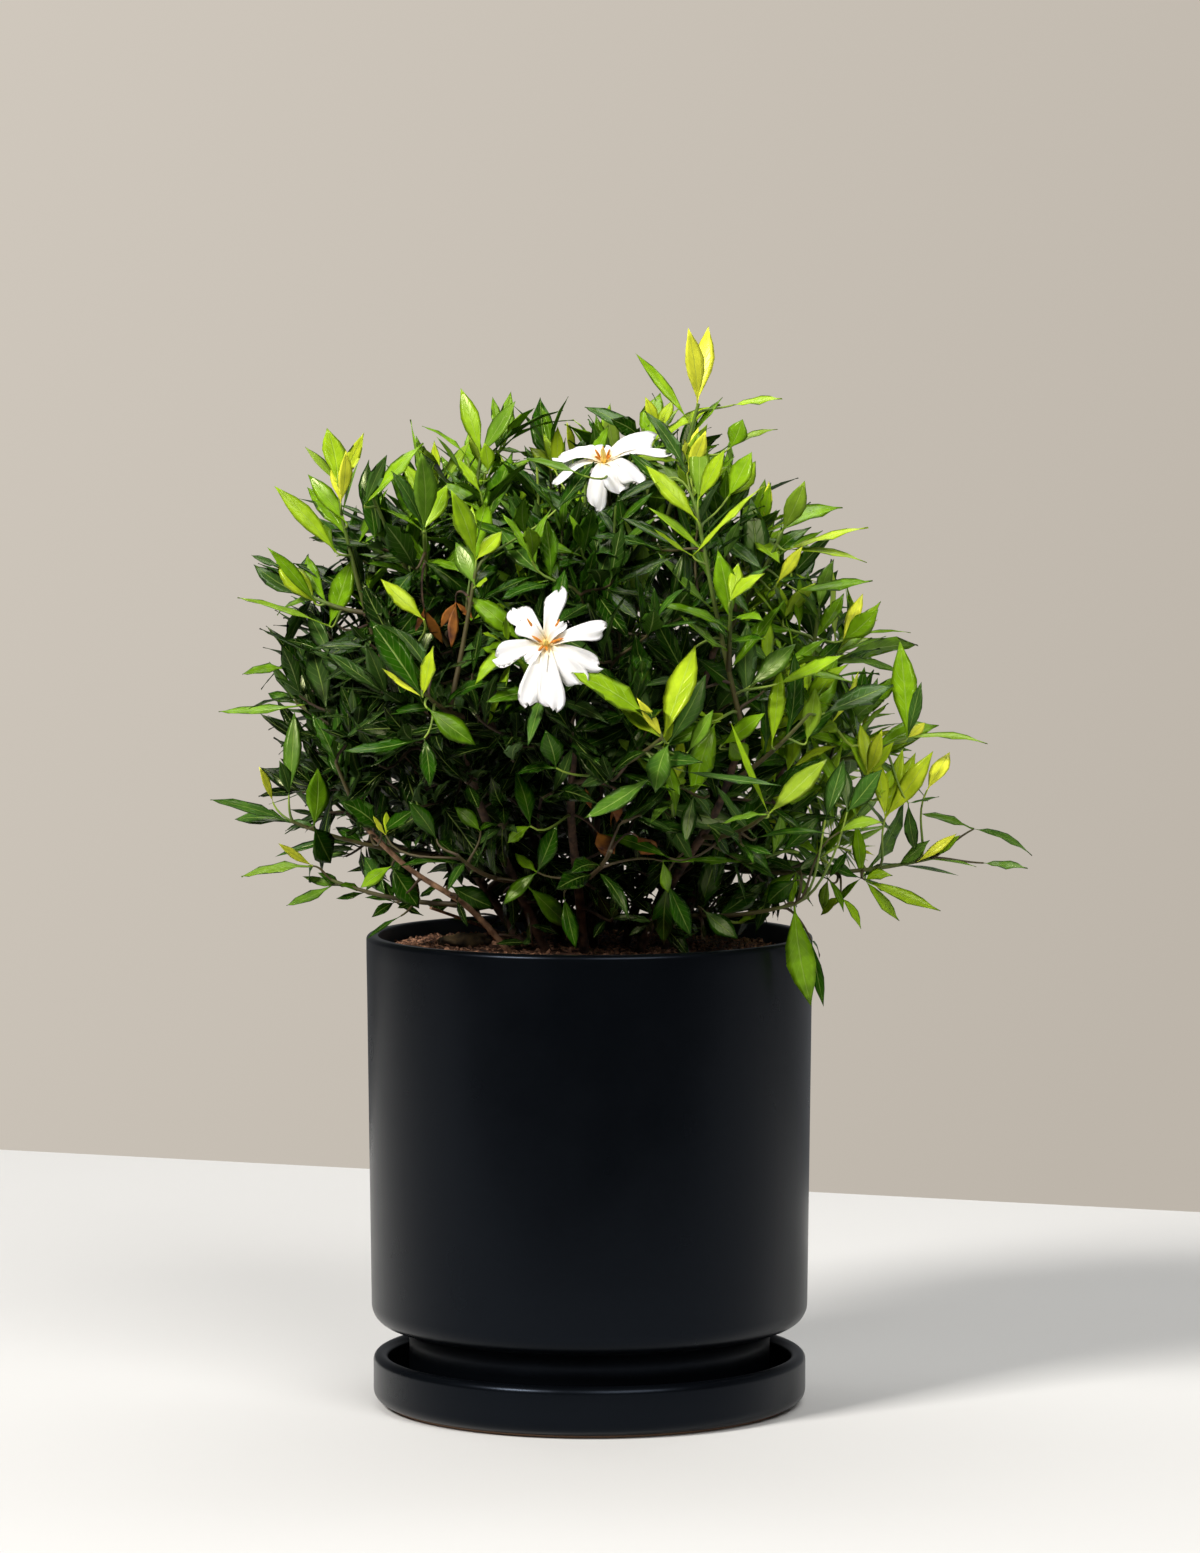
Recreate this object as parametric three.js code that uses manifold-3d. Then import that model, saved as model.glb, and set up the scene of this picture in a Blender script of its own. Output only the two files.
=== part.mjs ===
// A potted gardenia: a small flowering shrub in a straight-sided glazed pot that stands on its saucer.
// Millimetres, +Z up. The origin is the centre of the saucer's underside, and the plant's front is -Y.
// Each leafy shoot is one solid: its twigs and the leaves that grow on them. A shoot, stem or flower
// starts a small gap away from the piece that carries it.

import * as THREE from 'three';
import { mergeVertices } from 'three/addons/utils/BufferGeometryUtils.js';
import Module from 'manifold-3d';

const wasm = await Module();
wasm.setup();

// --- Driving dimensions ---

const GAP = 0.3;                 // clearance between neighbouring pieces

const SAUCER_RADIUS = 123.5;
const SAUCER_HEIGHT = 29.5;
const SAUCER_RIM_INNER = 115;
const SAUCER_FLOOR = 8;          // height of the floor that the pot stands on
const SAUCER_FLOOR_RADIUS = 110; // the floor turns up into the rim outside this
const SAUCER_FOOT_RADIUS = 116;
const SAUCER_FOOT_BEVEL = 1.5;
const SAUCER_CORNER = 7;         // rounding of the lower outside edge
const SAUCER_CORNER_HEIGHT = 9;  // height of that rounding's centre

const POT_RADIUS = 127;
const POT_LOWER_RADIUS = 124.5;
const POT_TOP = 269;
const POT_SHOULDER = 9;          // depth of the band below the rim that stands straight
const POT_TAPER = 0.6;           // how far the body is already in under that band
const POT_LIP = 5;               // width of the rounded rim
const POT_WALL = 7;
const POT_UNDERSIDE = 46;        // lowest edge of the wide body, above the narrower foot
const POT_CORNER = 12;           // rounding of the body's lower edge
const POT_FOOT_RADIUS = 103;
const POT_FOOT_BEVEL = 1;
const POT_FOOT_COVE = 6;         // slope between the foot and the underside of the body
const POT_FLOOR = 20;            // height of the floor inside the pot
const POT_INNER_STEP = 8;        // the cavity widens by this much above the foot
const DRAIN_RADIUS = 9;

const SOIL_EDGE = 250;           // height of the soil at the wall
const SOIL_SLOPE_TOP = 253;      // height where the gentle outer slope ends
const SOIL_CROWN = 257;          // height of the soil around the stems
const STEM_DEPTH = 16;           // how far a stem goes into the soil

const STEM_RADIUS = 4.2;
const STEM_TIP_RADIUS = 2.3;
const TWIG_RADIUS = 1.6;
const TWIG_TIP_RADIUS = 1.0;
const TWIG_SAG = 0.1;            // how far a twig's middle hangs, as a fraction of its length
const FORK = 0.3;                // where a shoot's second twig leaves its first

// A blade's outline is [fraction of its length, fraction of its half width] along one side. Its bend
// lowers the tip and its ridge is where it is thickest, both as fractions of the length.
const LEAF_OUTLINE = [[0.28, 0.86], [0.62, 0.94]];
const LEAF = { length: 52, width: 17, thickness: 1.3, bend: 0.12, outline: LEAF_OUTLINE, ridge: 0.45 };
const LEAF_PAIRS = 4;            // pairs of opposite leaves on each twig
const FIRST_PAIR = 0.38;         // where the first and last pairs sit along the twig
const LAST_PAIR = 0.98;
const FIRST_SPREAD = 62;         // degrees between a leaf and its twig, from the first pair to the last
const LAST_SPREAD = 28;
const SPREAD_RANGE = 16;
const TURN_RANGE = 0.5;          // radians by which a leaf strays around the twig
const SMALLEST_LEAF = 0.8;       // the size of a leaf goes from here up, by the range
const LEAF_SIZE_RANGE = 0.35;
const SKYWARD = 0.5;             // how strongly a leaf turns its face to the sky

const PETAL_OUTLINE = [[0.3, 0.6], [0.72, 1]];
const PETAL = { length: 33, width: 15, thickness: 1.4, bend: 0.14, outline: PETAL_OUTLINE, ridge: 0.5 };
const PETAL_COUNT = 8;
const PETAL_LIFT = 0.3;          // radians that the petals rise from the flower's plane
const SHORT_PETAL = 0.82;        // every second petal is shorter, and lies on its neighbours
const PETAL_STEP = 0.4;
const TUBE_RADIUS = 2.6;         // the tube behind the petals
const FLOWER_DEPTH = 17;         // from the flower's centre back to the end of its shoot
const CALYX_LENGTH = 9;
const SEPAL = { length: 8, width: 2.6, thickness: 1, bend: 0.1, outline: [[0.5, 1]], ridge: 0.4 };
const SEPAL_LIFT = 0.25;
const STAMEN = { length: 12, width: 2, thickness: 1.2, bend: 0.25, outline: [[0.55, 1]], ridge: 0.5 };
const STAMEN_COUNT = 6;          // as many as there are sepals
const STAMEN_LIFT = 0.75;
const STAMEN_BASE = 2.8;         // height of the stamens' roots above the flower's centre
const HUB = { from: 1.6, to: 4.5, radius: 1.6 };
const STYLE = { from: 3.5, to: 16, radius: 0.9, tipRadius: 1.5 };

const ROUND_SIDES = 48;          // sides of the pot, the saucer and the soil
const STEM_SIDES = 6;
const STEM_STEPS = 8;
const TWIG_SIDES = 4;
const TWIG_STEPS = 4;
const FLOWER_SIDES = 8;
const SMALLEST_EDGE = 0.03;      // slivers left by a join are merged below this size
const MERGE = 1e-3;              // corners closer than this count as one

// --- Where the stems and shoots grow ---

// Each stem is a short list of points from the soil upwards.
const STEMS = {
  left: [[-30, -8, 252], [-62, -10, 300], [-98, -18, 360], [-118, -30, 430]],
  left_branch: [[-38, -34, 252], [-66, -53, 287], [-101, -66, 312], [-123, -75, 334]],
  front_left: [[-20, -26, 252], [-42, -62, 305], [-62, -98, 355], [-70, -118, 400]],
  front: [[-2, -32, 252], [-6, -62, 300], [-10, -95, 345], [-8, -118, 385]],
  front_right: [[24, -28, 252], [45, -55, 300], [70, -88, 345], [85, -110, 390]],
  right: [[36, -2, 252], [66, -6, 300], [100, -12, 345], [120, -20, 395]],
  right_centre: [[18, 10, 252], [34, 8, 310], [54, -5, 370], [70, -15, 430]],
  centre: [[3, -6, 252], [2, 4, 310], [10, -5, 380], [25, -12, 450]],
  left_centre: [[-14, 8, 252], [-28, 8, 310], [-52, -8, 380], [-80, -25, 440]],
  back_right: [[26, 30, 252], [50, 56, 305], [75, 88, 350], [90, 105, 400]],
  back: [[0, 36, 252], [-5, 62, 305], [-10, 92, 355], [-12, 110, 410]],
  back_left: [[-27, 28, 252], [-52, 52, 305], [-85, 76, 350], [-100, 88, 400]],
};

// Each shoot grows from a stem, at a fraction of the stem's length, and its twigs end at the tips.
const SHOOTS = {
  crown: { stem: 'centre', at: 1, tips: [[61, -40, 570], [30, -30, 556]] },
  crown_back: { stem: 'centre', at: 0.9, tips: [[5, 38, 545]] },
  upper_right: { stem: 'front_right', at: 1, tips: [[60, -118, 506], [77, -140, 464]] },
  upper_left: { stem: 'left_centre', at: 1, tips: [[-61, -20, 540], [-60, 45, 528]] },
  left_crown: { stem: 'left_centre', at: 0.9, tips: [[-123, -70, 526], [-91, -90, 500]] },
  left_top: { stem: 'left', at: 1, tips: [[-138, -50, 508], [-156, -30, 462]] },
  left: { stem: 'left', at: 0.72, tips: [[-166, 0, 400], [-150, 45, 440]] },
  left_low: { stem: 'left', at: 0.42, tips: [[-166, -25, 334], [-152, 50, 345]] },
  left_bottom: { stem: 'left_branch', at: 0.5, tips: [[-145, -40, 303]] },
  left_front: { stem: 'left_branch', at: 1, tips: [[-140, -85, 372]] },
  front_left: { stem: 'front_left', at: 1, tips: [[-90, -160, 416], [-62, -130, 478]] },
  front_low_left: { stem: 'front_left', at: 0.42, tips: [[-72, -135, 325]] },
  front_centre: { stem: 'front', at: 0.85, tips: [[39, -172, 391]] },
  front_low: { stem: 'front', at: 0.45, tips: [[12, -145, 328]] },
  front_right: { stem: 'front_right', at: 0.62, tips: [[97, -160, 350]] },
  right_front: { stem: 'front_right', at: 0.82, tips: [[120, -112, 400]] },
  hanging: { stem: 'front_right', at: 0.3, tips: [[114, -80, 293]] },
  right_top: { stem: 'right_centre', at: 1, tips: [[108, -40, 498], [75, 35, 520]] },
  right: { stem: 'right', at: 1, tips: [[129, -30, 455], [148, 45, 432]] },
  right_mid: { stem: 'right', at: 0.82, tips: [[178, -38, 383]] },
  right_low: { stem: 'right', at: 0.45, tips: [[192, -28, 314], [150, 60, 325]] },
  back_right_low: { stem: 'back_right', at: 0.45, tips: [[118, 105, 315]] },
  back_right: { stem: 'back_right', at: 0.8, tips: [[130, 95, 405], [60, 150, 400]] },
  back_right_top: { stem: 'back_right', at: 1, tips: [[85, 95, 495]] },
  back_low: { stem: 'back', at: 0.5, tips: [[30, 152, 320], [-45, 150, 332]] },
  back: { stem: 'back', at: 0.85, tips: [[-10, 168, 408]] },
  back_top: { stem: 'back', at: 1, tips: [[-25, 115, 500]] },
  back_left_low: { stem: 'back_left', at: 0.5, tips: [[-125, 110, 322]] },
  back_left: { stem: 'back_left', at: 0.85, tips: [[-125, 118, 405]] },
  back_left_top: { stem: 'back_left', at: 1, tips: [[-95, 85, 492]] },
};

// A flower opens at its centre and faces along a direction. Its shoot grows from a stem.
const FLOWERS = {
  front_flower: { stem: 'front', at: 1, centre: [-23, -170, 441], facing: [-0.05, -0.93, 0.36], turn: 0.2 },
  top_flower: { stem: 'centre', at: 0.97, centre: [8, -75, 541], facing: [-0.1, -0.62, 0.78], turn: 0.6 },
};

// --- Materials ---

const paint = (color, roughness) => new THREE.MeshStandardMaterial({ color, roughness, metalness: 0 });
const MATERIALS = {
  glaze: paint('#15181b', 0.45),
  soil: paint('#3b2a1f', 1),
  bark: paint('#6b4f3a', 0.9),
  leaf: paint('#2f6b2a', 0.4),
  petal: paint('#f6f3e6', 0.6),
  stamen: paint('#b5752a', 0.7),
  calyx: paint('#7fa23c', 0.6),
};

// --- Solids ---

function toSolid(geometry) {
  geometry.deleteAttribute('normal');
  geometry.deleteAttribute('uv');
  const merged = mergeVertices(geometry);
  const vertProperties = new Float32Array(merged.attributes.position.array);
  const triVerts = new Uint32Array(merged.index.array);
  return new wasm.Manifold(new wasm.Mesh({ numProp: 3, vertProperties, triVerts }));
}

function toGeometry(solid) {
  const mesh = solid.asOriginal().simplify(SMALLEST_EDGE).getMesh();
  const geometry = new THREE.BufferGeometry();
  geometry.setAttribute('position', new THREE.BufferAttribute(mesh.vertProperties, mesh.numProp));
  geometry.setIndex(new THREE.BufferAttribute(mesh.triVerts, 1));
  return geometry;
}

function fromFaces(points, faces) {
  const positions = points.flatMap((point) => point.toArray());
  const geometry = new THREE.BufferGeometry();
  geometry.setAttribute('position', new THREE.Float32BufferAttribute(positions, 3));
  geometry.setIndex(faces.flat());
  return toSolid(geometry);
}

const vector = (point) => new THREE.Vector3(...point);

// A profile of [radius, height] points turned about the Z axis.
function turned(profile) {
  const points = profile.map(([radius, height]) => new THREE.Vector2(radius, height));
  const geometry = new THREE.LatheGeometry(points, ROUND_SIDES);
  geometry.rotateX(Math.PI / 2);
  return toSolid(geometry);
}

// Points of a round corner about a centre, from one angle to another in degrees.
function corner([x, z], radius, from, to, steps) {
  return Array.from({ length: steps + 1 }, (_, i) => {
    const angle = THREE.MathUtils.degToRad(THREE.MathUtils.lerp(from, to, i / steps));
    return [x + radius * Math.cos(angle), z + radius * Math.sin(angle)];
  });
}

// A round stem along a curve that grows thinner from its start to its end, and runs past both ends
// of the curve by the overrun.
function taperedTube(curve, startRadius, endRadius, sides, steps, overrun = 0) {
  const frames = curve.computeFrenetFrames(steps, false);
  const points = [];
  const faces = [];
  for (let i = 0; i <= steps; i++) {
    const centre = curve.getPointAt(i / steps);
    const past = overrun * ((i === steps) - (i === 0));
    centre.addScaledVector(frames.tangents[i], past);
    const radius = THREE.MathUtils.lerp(startRadius, endRadius, i / steps);
    for (let k = 0; k < sides; k++) {
      const angle = 2 * Math.PI * k / sides;
      const offset = frames.normals[i].clone().multiplyScalar(radius * Math.cos(angle))
        .addScaledVector(frames.binormals[i], radius * Math.sin(angle));
      points.push(centre.clone().add(offset));
    }
  }
  for (let i = 0; i < steps; i++) {
    for (let k = 0; k < sides; k++) {
      const a = i * sides + k;
      const b = i * sides + (k + 1) % sides;
      faces.push([a, b, b + sides], [a, b + sides, a + sides]);
    }
  }
  for (let k = 1; k < sides - 1; k++) {
    const last = steps * sides;
    faces.push([0, k + 1, k], [last, last + k, last + k + 1]);
  }
  return fromFaces(points, faces);
}

// A thin pointed blade with a raised midrib on both sides.
function blade({ length, width, thickness, bend, outline, ridge }, base, along, up) {
  const side = new THREE.Vector3().crossVectors(up, along).normalize();
  const normal = new THREE.Vector3().crossVectors(along, side).normalize();
  const place = (x, y, z) => base.clone().addScaledVector(along, x * length)
    .addScaledVector(side, y * width / 2).addScaledVector(normal, z - bend * length * x * x);
  const rim = [place(0, 0, 0), ...outline.map(([x, y]) => place(x, -y, 0)), place(1, 0, 0),
    ...outline.toReversed().map(([x, y]) => place(x, y, 0))];
  const top = rim.length;
  const points = [...rim, place(ridge, 0, thickness / 2), place(ridge, 0, -thickness / 2)];
  const faces = rim.flatMap((_, i) => {
    const next = (i + 1) % rim.length;
    return [[i, next, top], [next, i, top + 1]];
  });
  return fromFaces(points, faces);
}

const largestPiece = (solid) => solid.decompose().sort((a, b) => b.volume() - a.volume())[0];

// Whether every edge still joins two faces when corners closer than MERGE are made one.
function hasCleanEdges(geometry) {
  const merged = mergeVertices(geometry, MERGE);
  const uses = new Map();
  for (let i = 0; i < merged.index.count; i += 3) {
    const corners = [0, 1, 2].map((k) => merged.index.getX(i + k));
    if (new Set(corners).size < 3) {
      continue;
    }
    corners.forEach((from, k) => {
      const to = corners[(k + 1) % 3];
      const edge = `${Math.min(from, to)} ${Math.max(from, to)}`;
      uses.set(edge, (uses.get(edge) ?? 0) + 1);
    });
  }
  return [...uses.values()].every((count) => count === 2);
}

const isOnePiece = (solid) => solid.decompose().length === 1 && hasCleanEdges(toGeometry(solid));

function boxesMeet(a, b, margin) {
  const [p, q] = [a.boundingBox(), b.boundingBox()];
  return [0, 1, 2].every((i) => p.min[i] < q.max[i] + margin && q.min[i] < p.max[i] + margin);
}

function isClear(solid, others) {
  return others.every((other) => !boxesMeet(solid, other, GAP) || solid.minGap(other, GAP) >= GAP);
}

// --- Repeatable variation ---

function randomSource(seed) {
  let state = seed >>> 0;
  return () => {
    state = (state + 0x6d2b79f5) >>> 0;
    let t = state;
    t = Math.imul(t ^ (t >>> 15), t | 1);
    t ^= t + Math.imul(t ^ (t >>> 7), t | 61);
    return ((t ^ (t >>> 14)) >>> 0) / 4294967296;
  };
}

// --- Pot, saucer and soil ---

function makeSaucer() {
  const rimRadius = (SAUCER_RADIUS - SAUCER_RIM_INNER) / 2;
  return turned([
    [0, 0],
    [SAUCER_FOOT_RADIUS, 0],
    [SAUCER_FOOT_RADIUS + SAUCER_FOOT_BEVEL, SAUCER_FOOT_BEVEL],
    ...corner([SAUCER_RADIUS - SAUCER_CORNER, SAUCER_CORNER_HEIGHT], SAUCER_CORNER, -60, 0, 3),
    ...corner([SAUCER_RADIUS - rimRadius, SAUCER_HEIGHT - rimRadius], rimRadius, 0, 180, 6),
    [SAUCER_RIM_INNER - 1, SAUCER_FLOOR + 4],
    [SAUCER_FLOOR_RADIUS, SAUCER_FLOOR],
    [0, SAUCER_FLOOR],
  ]);
}

// The pot's cavity has an upper part above the step over its foot, and a lower part inside the foot.
const CAVITY_RADIUS = POT_RADIUS - POT_WALL;
const FOOT_CAVITY_RADIUS = POT_FOOT_RADIUS - POT_WALL;
const STEP_HEIGHT = POT_UNDERSIDE + POT_WALL;

function makePot() {
  const lipRadius = POT_LIP / 2;
  return turned([
    [DRAIN_RADIUS, SAUCER_FLOOR],
    [POT_FOOT_RADIUS - POT_FOOT_BEVEL, SAUCER_FLOOR],
    [POT_FOOT_RADIUS, SAUCER_FLOOR + POT_FOOT_BEVEL],
    [POT_FOOT_RADIUS, POT_UNDERSIDE - POT_FOOT_COVE],
    [POT_FOOT_RADIUS + POT_FOOT_COVE, POT_UNDERSIDE],
    ...corner([POT_LOWER_RADIUS - POT_CORNER, POT_UNDERSIDE + POT_CORNER], POT_CORNER, -90, 0, 5),
    [POT_RADIUS - POT_TAPER, POT_TOP - POT_SHOULDER],
    ...corner([POT_RADIUS - lipRadius, POT_TOP - lipRadius], lipRadius, 0, 180, 5),
    [CAVITY_RADIUS, POT_TOP - POT_SHOULDER],
    [CAVITY_RADIUS, STEP_HEIGHT + POT_FOOT_COVE],
    [FOOT_CAVITY_RADIUS + POT_INNER_STEP, STEP_HEIGHT],
    [FOOT_CAVITY_RADIUS, STEP_HEIGHT - POT_FOOT_COVE],
    [FOOT_CAVITY_RADIUS, POT_FLOOR],
    [DRAIN_RADIUS, POT_FLOOR],
    [DRAIN_RADIUS, SAUCER_FLOOR],
  ]);
}

// The soil fills the cavity, and the stems stand in sockets in it.
function makeSoil(stemSolids) {
  const body = turned([
    [0, POT_FLOOR],
    [FOOT_CAVITY_RADIUS - GAP, POT_FLOOR],
    [FOOT_CAVITY_RADIUS - GAP, STEP_HEIGHT - POT_FOOT_COVE],
    [FOOT_CAVITY_RADIUS + POT_INNER_STEP - GAP, STEP_HEIGHT + GAP],
    [CAVITY_RADIUS - GAP, STEP_HEIGHT + POT_FOOT_COVE + GAP],
    [CAVITY_RADIUS - GAP, SOIL_EDGE],
    [CAVITY_RADIUS * 0.75, SOIL_SLOPE_TOP],
    [CAVITY_RADIUS * 0.45, SOIL_CROWN],
    [0, SOIL_CROWN],
  ]);
  return stemSolids.reduce((soil, stem) => soil.subtract(stem), body);
}

// --- Stems and shoots ---

function stemCurve(points) {
  const [start, next] = points.map(vector);
  const root = start.clone().addScaledVector(next.clone().sub(start).normalize(), -STEM_DEPTH);
  return new THREE.CatmullRomCurve3([root, ...points.slice(1).map(vector)]);
}

const stemEntries = Object.entries(STEMS).map(([name, points]) => [name, stemCurve(points)]);
const stemCurves = Object.fromEntries(stemEntries);

// A stem, made larger all round by a margin.
function makeStem(curve, margin) {
  const [startRadius, endRadius] = [STEM_RADIUS + margin, STEM_TIP_RADIUS + margin];
  return taperedTube(curve, startRadius, endRadius, STEM_SIDES, STEM_STEPS, margin);
}

// A twig leaves its carrier low and then turns up to its tip.
function twigCurve(start, tip) {
  const length = start.distanceTo(tip);
  const middle = start.clone().lerp(tip, 0.5);
  middle.z -= TWIG_SAG * length;
  return new THREE.QuadraticBezierCurve3(start, middle, tip);
}

// A flower's twig meets the flower square to its back.
function flowerTwigCurve(start, end, axis) {
  const middle = end.clone().addScaledVector(axis, -0.35 * start.distanceTo(end));
  return new THREE.QuadraticBezierCurve3(start, middle, end);
}

// The twigs of a shoot: the first runs from the stem to its tip, and the others fork off it.
function shootCurves(stem, at, tips) {
  const main = twigCurve(stemCurves[stem].getPointAt(at), vector(tips[0]));
  const forks = tips.slice(1).map((tip) => twigCurve(main.getPointAt(FORK), vector(tip)));
  return [main, ...forks];
}

const makeTwig = (curve) => taperedTube(curve, TWIG_RADIUS, TWIG_TIP_RADIUS, TWIG_SIDES, TWIG_STEPS);

// Axes around a curve at one place: along it, to the side and upright.
function axesAt(curve, place) {
  const tangent = curve.getTangentAt(place);
  const side = new THREE.Vector3().crossVectors(tangent, new THREE.Vector3(0.1, 0.2, 1)).normalize();
  return { tangent, side, upright: new THREE.Vector3().crossVectors(side, tangent) };
}

const ray = (axisA, axisB, angle) => axisA.clone().multiplyScalar(Math.cos(angle))
  .addScaledVector(axisB, Math.sin(angle));

// The leaves of a twig grow in opposite pairs, each pair turned a quarter from the last, and they
// stand closer to the twig towards its tip.
function makeLeaves(curve, seed) {
  const random = randomSource(seed);
  const stray = (range) => range * (random() - 0.5);
  const spin = 2 * Math.PI * random();
  const leaves = [];
  for (let pair = 0; pair < LEAF_PAIRS; pair++) {
    const progress = pair / (LEAF_PAIRS - 1);
    const place = THREE.MathUtils.lerp(FIRST_PAIR, LAST_PAIR, progress);
    const { tangent, side, upright } = axesAt(curve, place);
    for (let twin = 0; twin < 2; twin++) {
      const outward = ray(side, upright, spin + Math.PI * (pair / 2 + twin) + stray(TURN_RANGE));
      const spread = THREE.MathUtils.lerp(FIRST_SPREAD, LAST_SPREAD, progress) + stray(SPREAD_RANGE);
      const along = ray(tangent, outward, THREE.MathUtils.degToRad(spread));
      const up = tangent.clone().addScaledVector(along, -tangent.dot(along)).normalize();
      up.z += SKYWARD;
      const size = SMALLEST_LEAF + LEAF_SIZE_RANGE * random();
      const shape = { ...LEAF, length: LEAF.length * size, width: LEAF.width * size };
      const start = curve.getPointAt(place).addScaledVector(along, -TWIG_RADIUS);
      leaves.push(blade(shape, start, along, up));
    }
  }
  return leaves;
}

// --- Flowers ---

function makeFlower({ centre, facing, turn }) {
  const middle = vector(centre);
  const axis = vector(facing).normalize();
  const side = new THREE.Vector3().crossVectors(axis, new THREE.Vector3(0, 0.3, 1)).normalize();
  const upright = new THREE.Vector3().crossVectors(side, axis);
  const along = (distance) => middle.clone().addScaledVector(axis, distance);
  const tube = (from, to, startRadius, endRadius) => {
    const line = new THREE.LineCurve3(along(from), along(to));
    return taperedTube(line, startRadius, endRadius, FLOWER_SIDES, 1);
  };
  const blades = (count, lift, shapeOf) => Array.from({ length: count }, (_, i) => {
    const direction = ray(ray(side, upright, turn + 2 * Math.PI * i / count), axis, lift);
    const { shape, height } = shapeOf(i);
    return blade(shape, along(height), direction, axis);
  });

  const calyxEnd = CALYX_LENGTH + GAP - FLOWER_DEPTH;
  const petals = blades(PETAL_COUNT, PETAL_LIFT, (i) => (i % 2
    ? { shape: { ...PETAL, length: PETAL.length * SHORT_PETAL }, height: PETAL_STEP }
    : { shape: PETAL, height: 0 }));
  const sepals = blades(STAMEN_COUNT, SEPAL_LIFT, () => ({ shape: SEPAL, height: calyxEnd - TWIG_RADIUS }));
  const stamens = blades(STAMEN_COUNT, STAMEN_LIFT, () => ({ shape: STAMEN, height: STAMEN_BASE }));
  const petalTube = tube(calyxEnd + GAP, 2 * GAP, TWIG_RADIUS, TUBE_RADIUS);
  const calyxCup = tube(GAP - FLOWER_DEPTH, calyxEnd, TWIG_RADIUS, TUBE_RADIUS);
  const hub = tube(HUB.from, HUB.to, HUB.radius, HUB.radius);
  const style = tube(STYLE.from, STYLE.to, STYLE.radius, STYLE.tipRadius);
  return {
    petals: wasm.Manifold.union([petalTube, ...petals]),
    calyx: wasm.Manifold.union([calyxCup, ...sepals]),
    stamens: wasm.Manifold.union([hub, style, ...stamens]),
    shootEnd: along(-FLOWER_DEPTH),
    axis,
  };
}

// --- The whole plant ---

const solids = new Map();
const slots = new Map();

function keep(name, solid, slot) {
  solids.set(name, solid);
  slots.set(name, slot);
}

keep('saucer', makeSaucer(), 'glaze');
keep('pot', makePot(), 'glaze');
keep('soil', makeSoil(stemEntries.map(([, curve]) => makeStem(curve, GAP))), 'soil');
for (const [name, curve] of stemEntries) {
  keep(`stem_${name}`, makeStem(curve, 0), 'bark');
}

const cutFromStem = (solid, stem) => largestPiece(solid.subtract(makeStem(stemCurves[stem], GAP)));

const leafyParts = [];
for (const [name, { stem, at, ...flower }] of Object.entries(FLOWERS)) {
  const { petals, calyx, stamens, shootEnd, axis } = makeFlower(flower);
  const clearStamens = largestPiece(stamens.subtract(petals));
  keep(`${name}_petals`, petals, 'petal');
  keep(`${name}_calyx`, calyx, 'calyx');
  keep(`${name}_stamens`, clearStamens, 'stamen');
  const curves = [flowerTwigCurve(stemCurves[stem].getPointAt(at), shootEnd, axis)];
  leafyParts.push({ name: `${name}_shoot`, stem, curves });
}
for (const [name, { stem, at, tips }] of Object.entries(SHOOTS)) {
  leafyParts.push({ name: `shoot_${name}`, stem, curves: shootCurves(stem, at, tips) });
}
for (const part of leafyParts) {
  keep(part.name, cutFromStem(wasm.Manifold.union(part.curves.map(makeTwig)), part.stem), 'leaf');
}

// Leaves are added one by one where they stay clear of every other piece.
leafyParts.forEach(({ name, curves }, index) => {
  const others = [...solids].filter(([other]) => other !== name).map(([, solid]) => solid);
  const leaves = curves.flatMap((curve, fork) => makeLeaves(curve, 100 * index + fork + 1));
  for (const leaf of leaves) {
    const grown = solids.get(name).add(leaf);
    if (isClear(leaf, others) && isOnePiece(grown)) {
      solids.set(name, grown);
    }
  }
});

const plant = new THREE.Group();
for (const [name, solid] of solids) {
  const mesh = new THREE.Mesh(toGeometry(solid), MATERIALS[slots.get(name)]);
  mesh.name = name;
  plant.add(mesh);
}

export default plant;
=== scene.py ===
import math

import bmesh
import bpy
import numpy as np
from mathutils import Matrix, Vector, noise


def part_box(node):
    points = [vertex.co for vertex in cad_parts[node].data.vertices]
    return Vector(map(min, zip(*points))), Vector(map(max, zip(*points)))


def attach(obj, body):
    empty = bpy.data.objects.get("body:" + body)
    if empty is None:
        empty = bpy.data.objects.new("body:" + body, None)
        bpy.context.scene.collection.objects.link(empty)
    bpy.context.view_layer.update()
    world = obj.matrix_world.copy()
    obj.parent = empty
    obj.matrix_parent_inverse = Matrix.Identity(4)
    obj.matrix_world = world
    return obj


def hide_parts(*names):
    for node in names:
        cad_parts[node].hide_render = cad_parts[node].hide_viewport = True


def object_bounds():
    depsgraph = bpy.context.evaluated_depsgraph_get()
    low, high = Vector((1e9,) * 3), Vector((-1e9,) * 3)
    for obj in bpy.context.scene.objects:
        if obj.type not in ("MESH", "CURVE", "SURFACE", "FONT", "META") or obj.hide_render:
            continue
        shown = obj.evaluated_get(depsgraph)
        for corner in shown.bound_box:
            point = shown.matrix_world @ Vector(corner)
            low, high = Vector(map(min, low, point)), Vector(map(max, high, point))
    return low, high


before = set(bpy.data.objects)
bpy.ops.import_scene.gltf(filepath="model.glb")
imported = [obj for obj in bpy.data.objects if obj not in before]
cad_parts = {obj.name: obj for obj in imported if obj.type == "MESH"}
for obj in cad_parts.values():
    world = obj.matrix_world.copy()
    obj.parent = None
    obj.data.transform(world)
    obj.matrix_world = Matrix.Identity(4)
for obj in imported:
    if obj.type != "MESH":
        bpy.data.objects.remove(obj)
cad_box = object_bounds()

# A potted gardenia: a leafy shrub with two open flowers in a matte black glazed pot on its saucer.
# Sizes and places are millimetres in the values below and become metres where a mesh is made.
MM = 0.001

# --- Where the stems, shoots and flowers grow: the same places as in the CAD model ---

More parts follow.
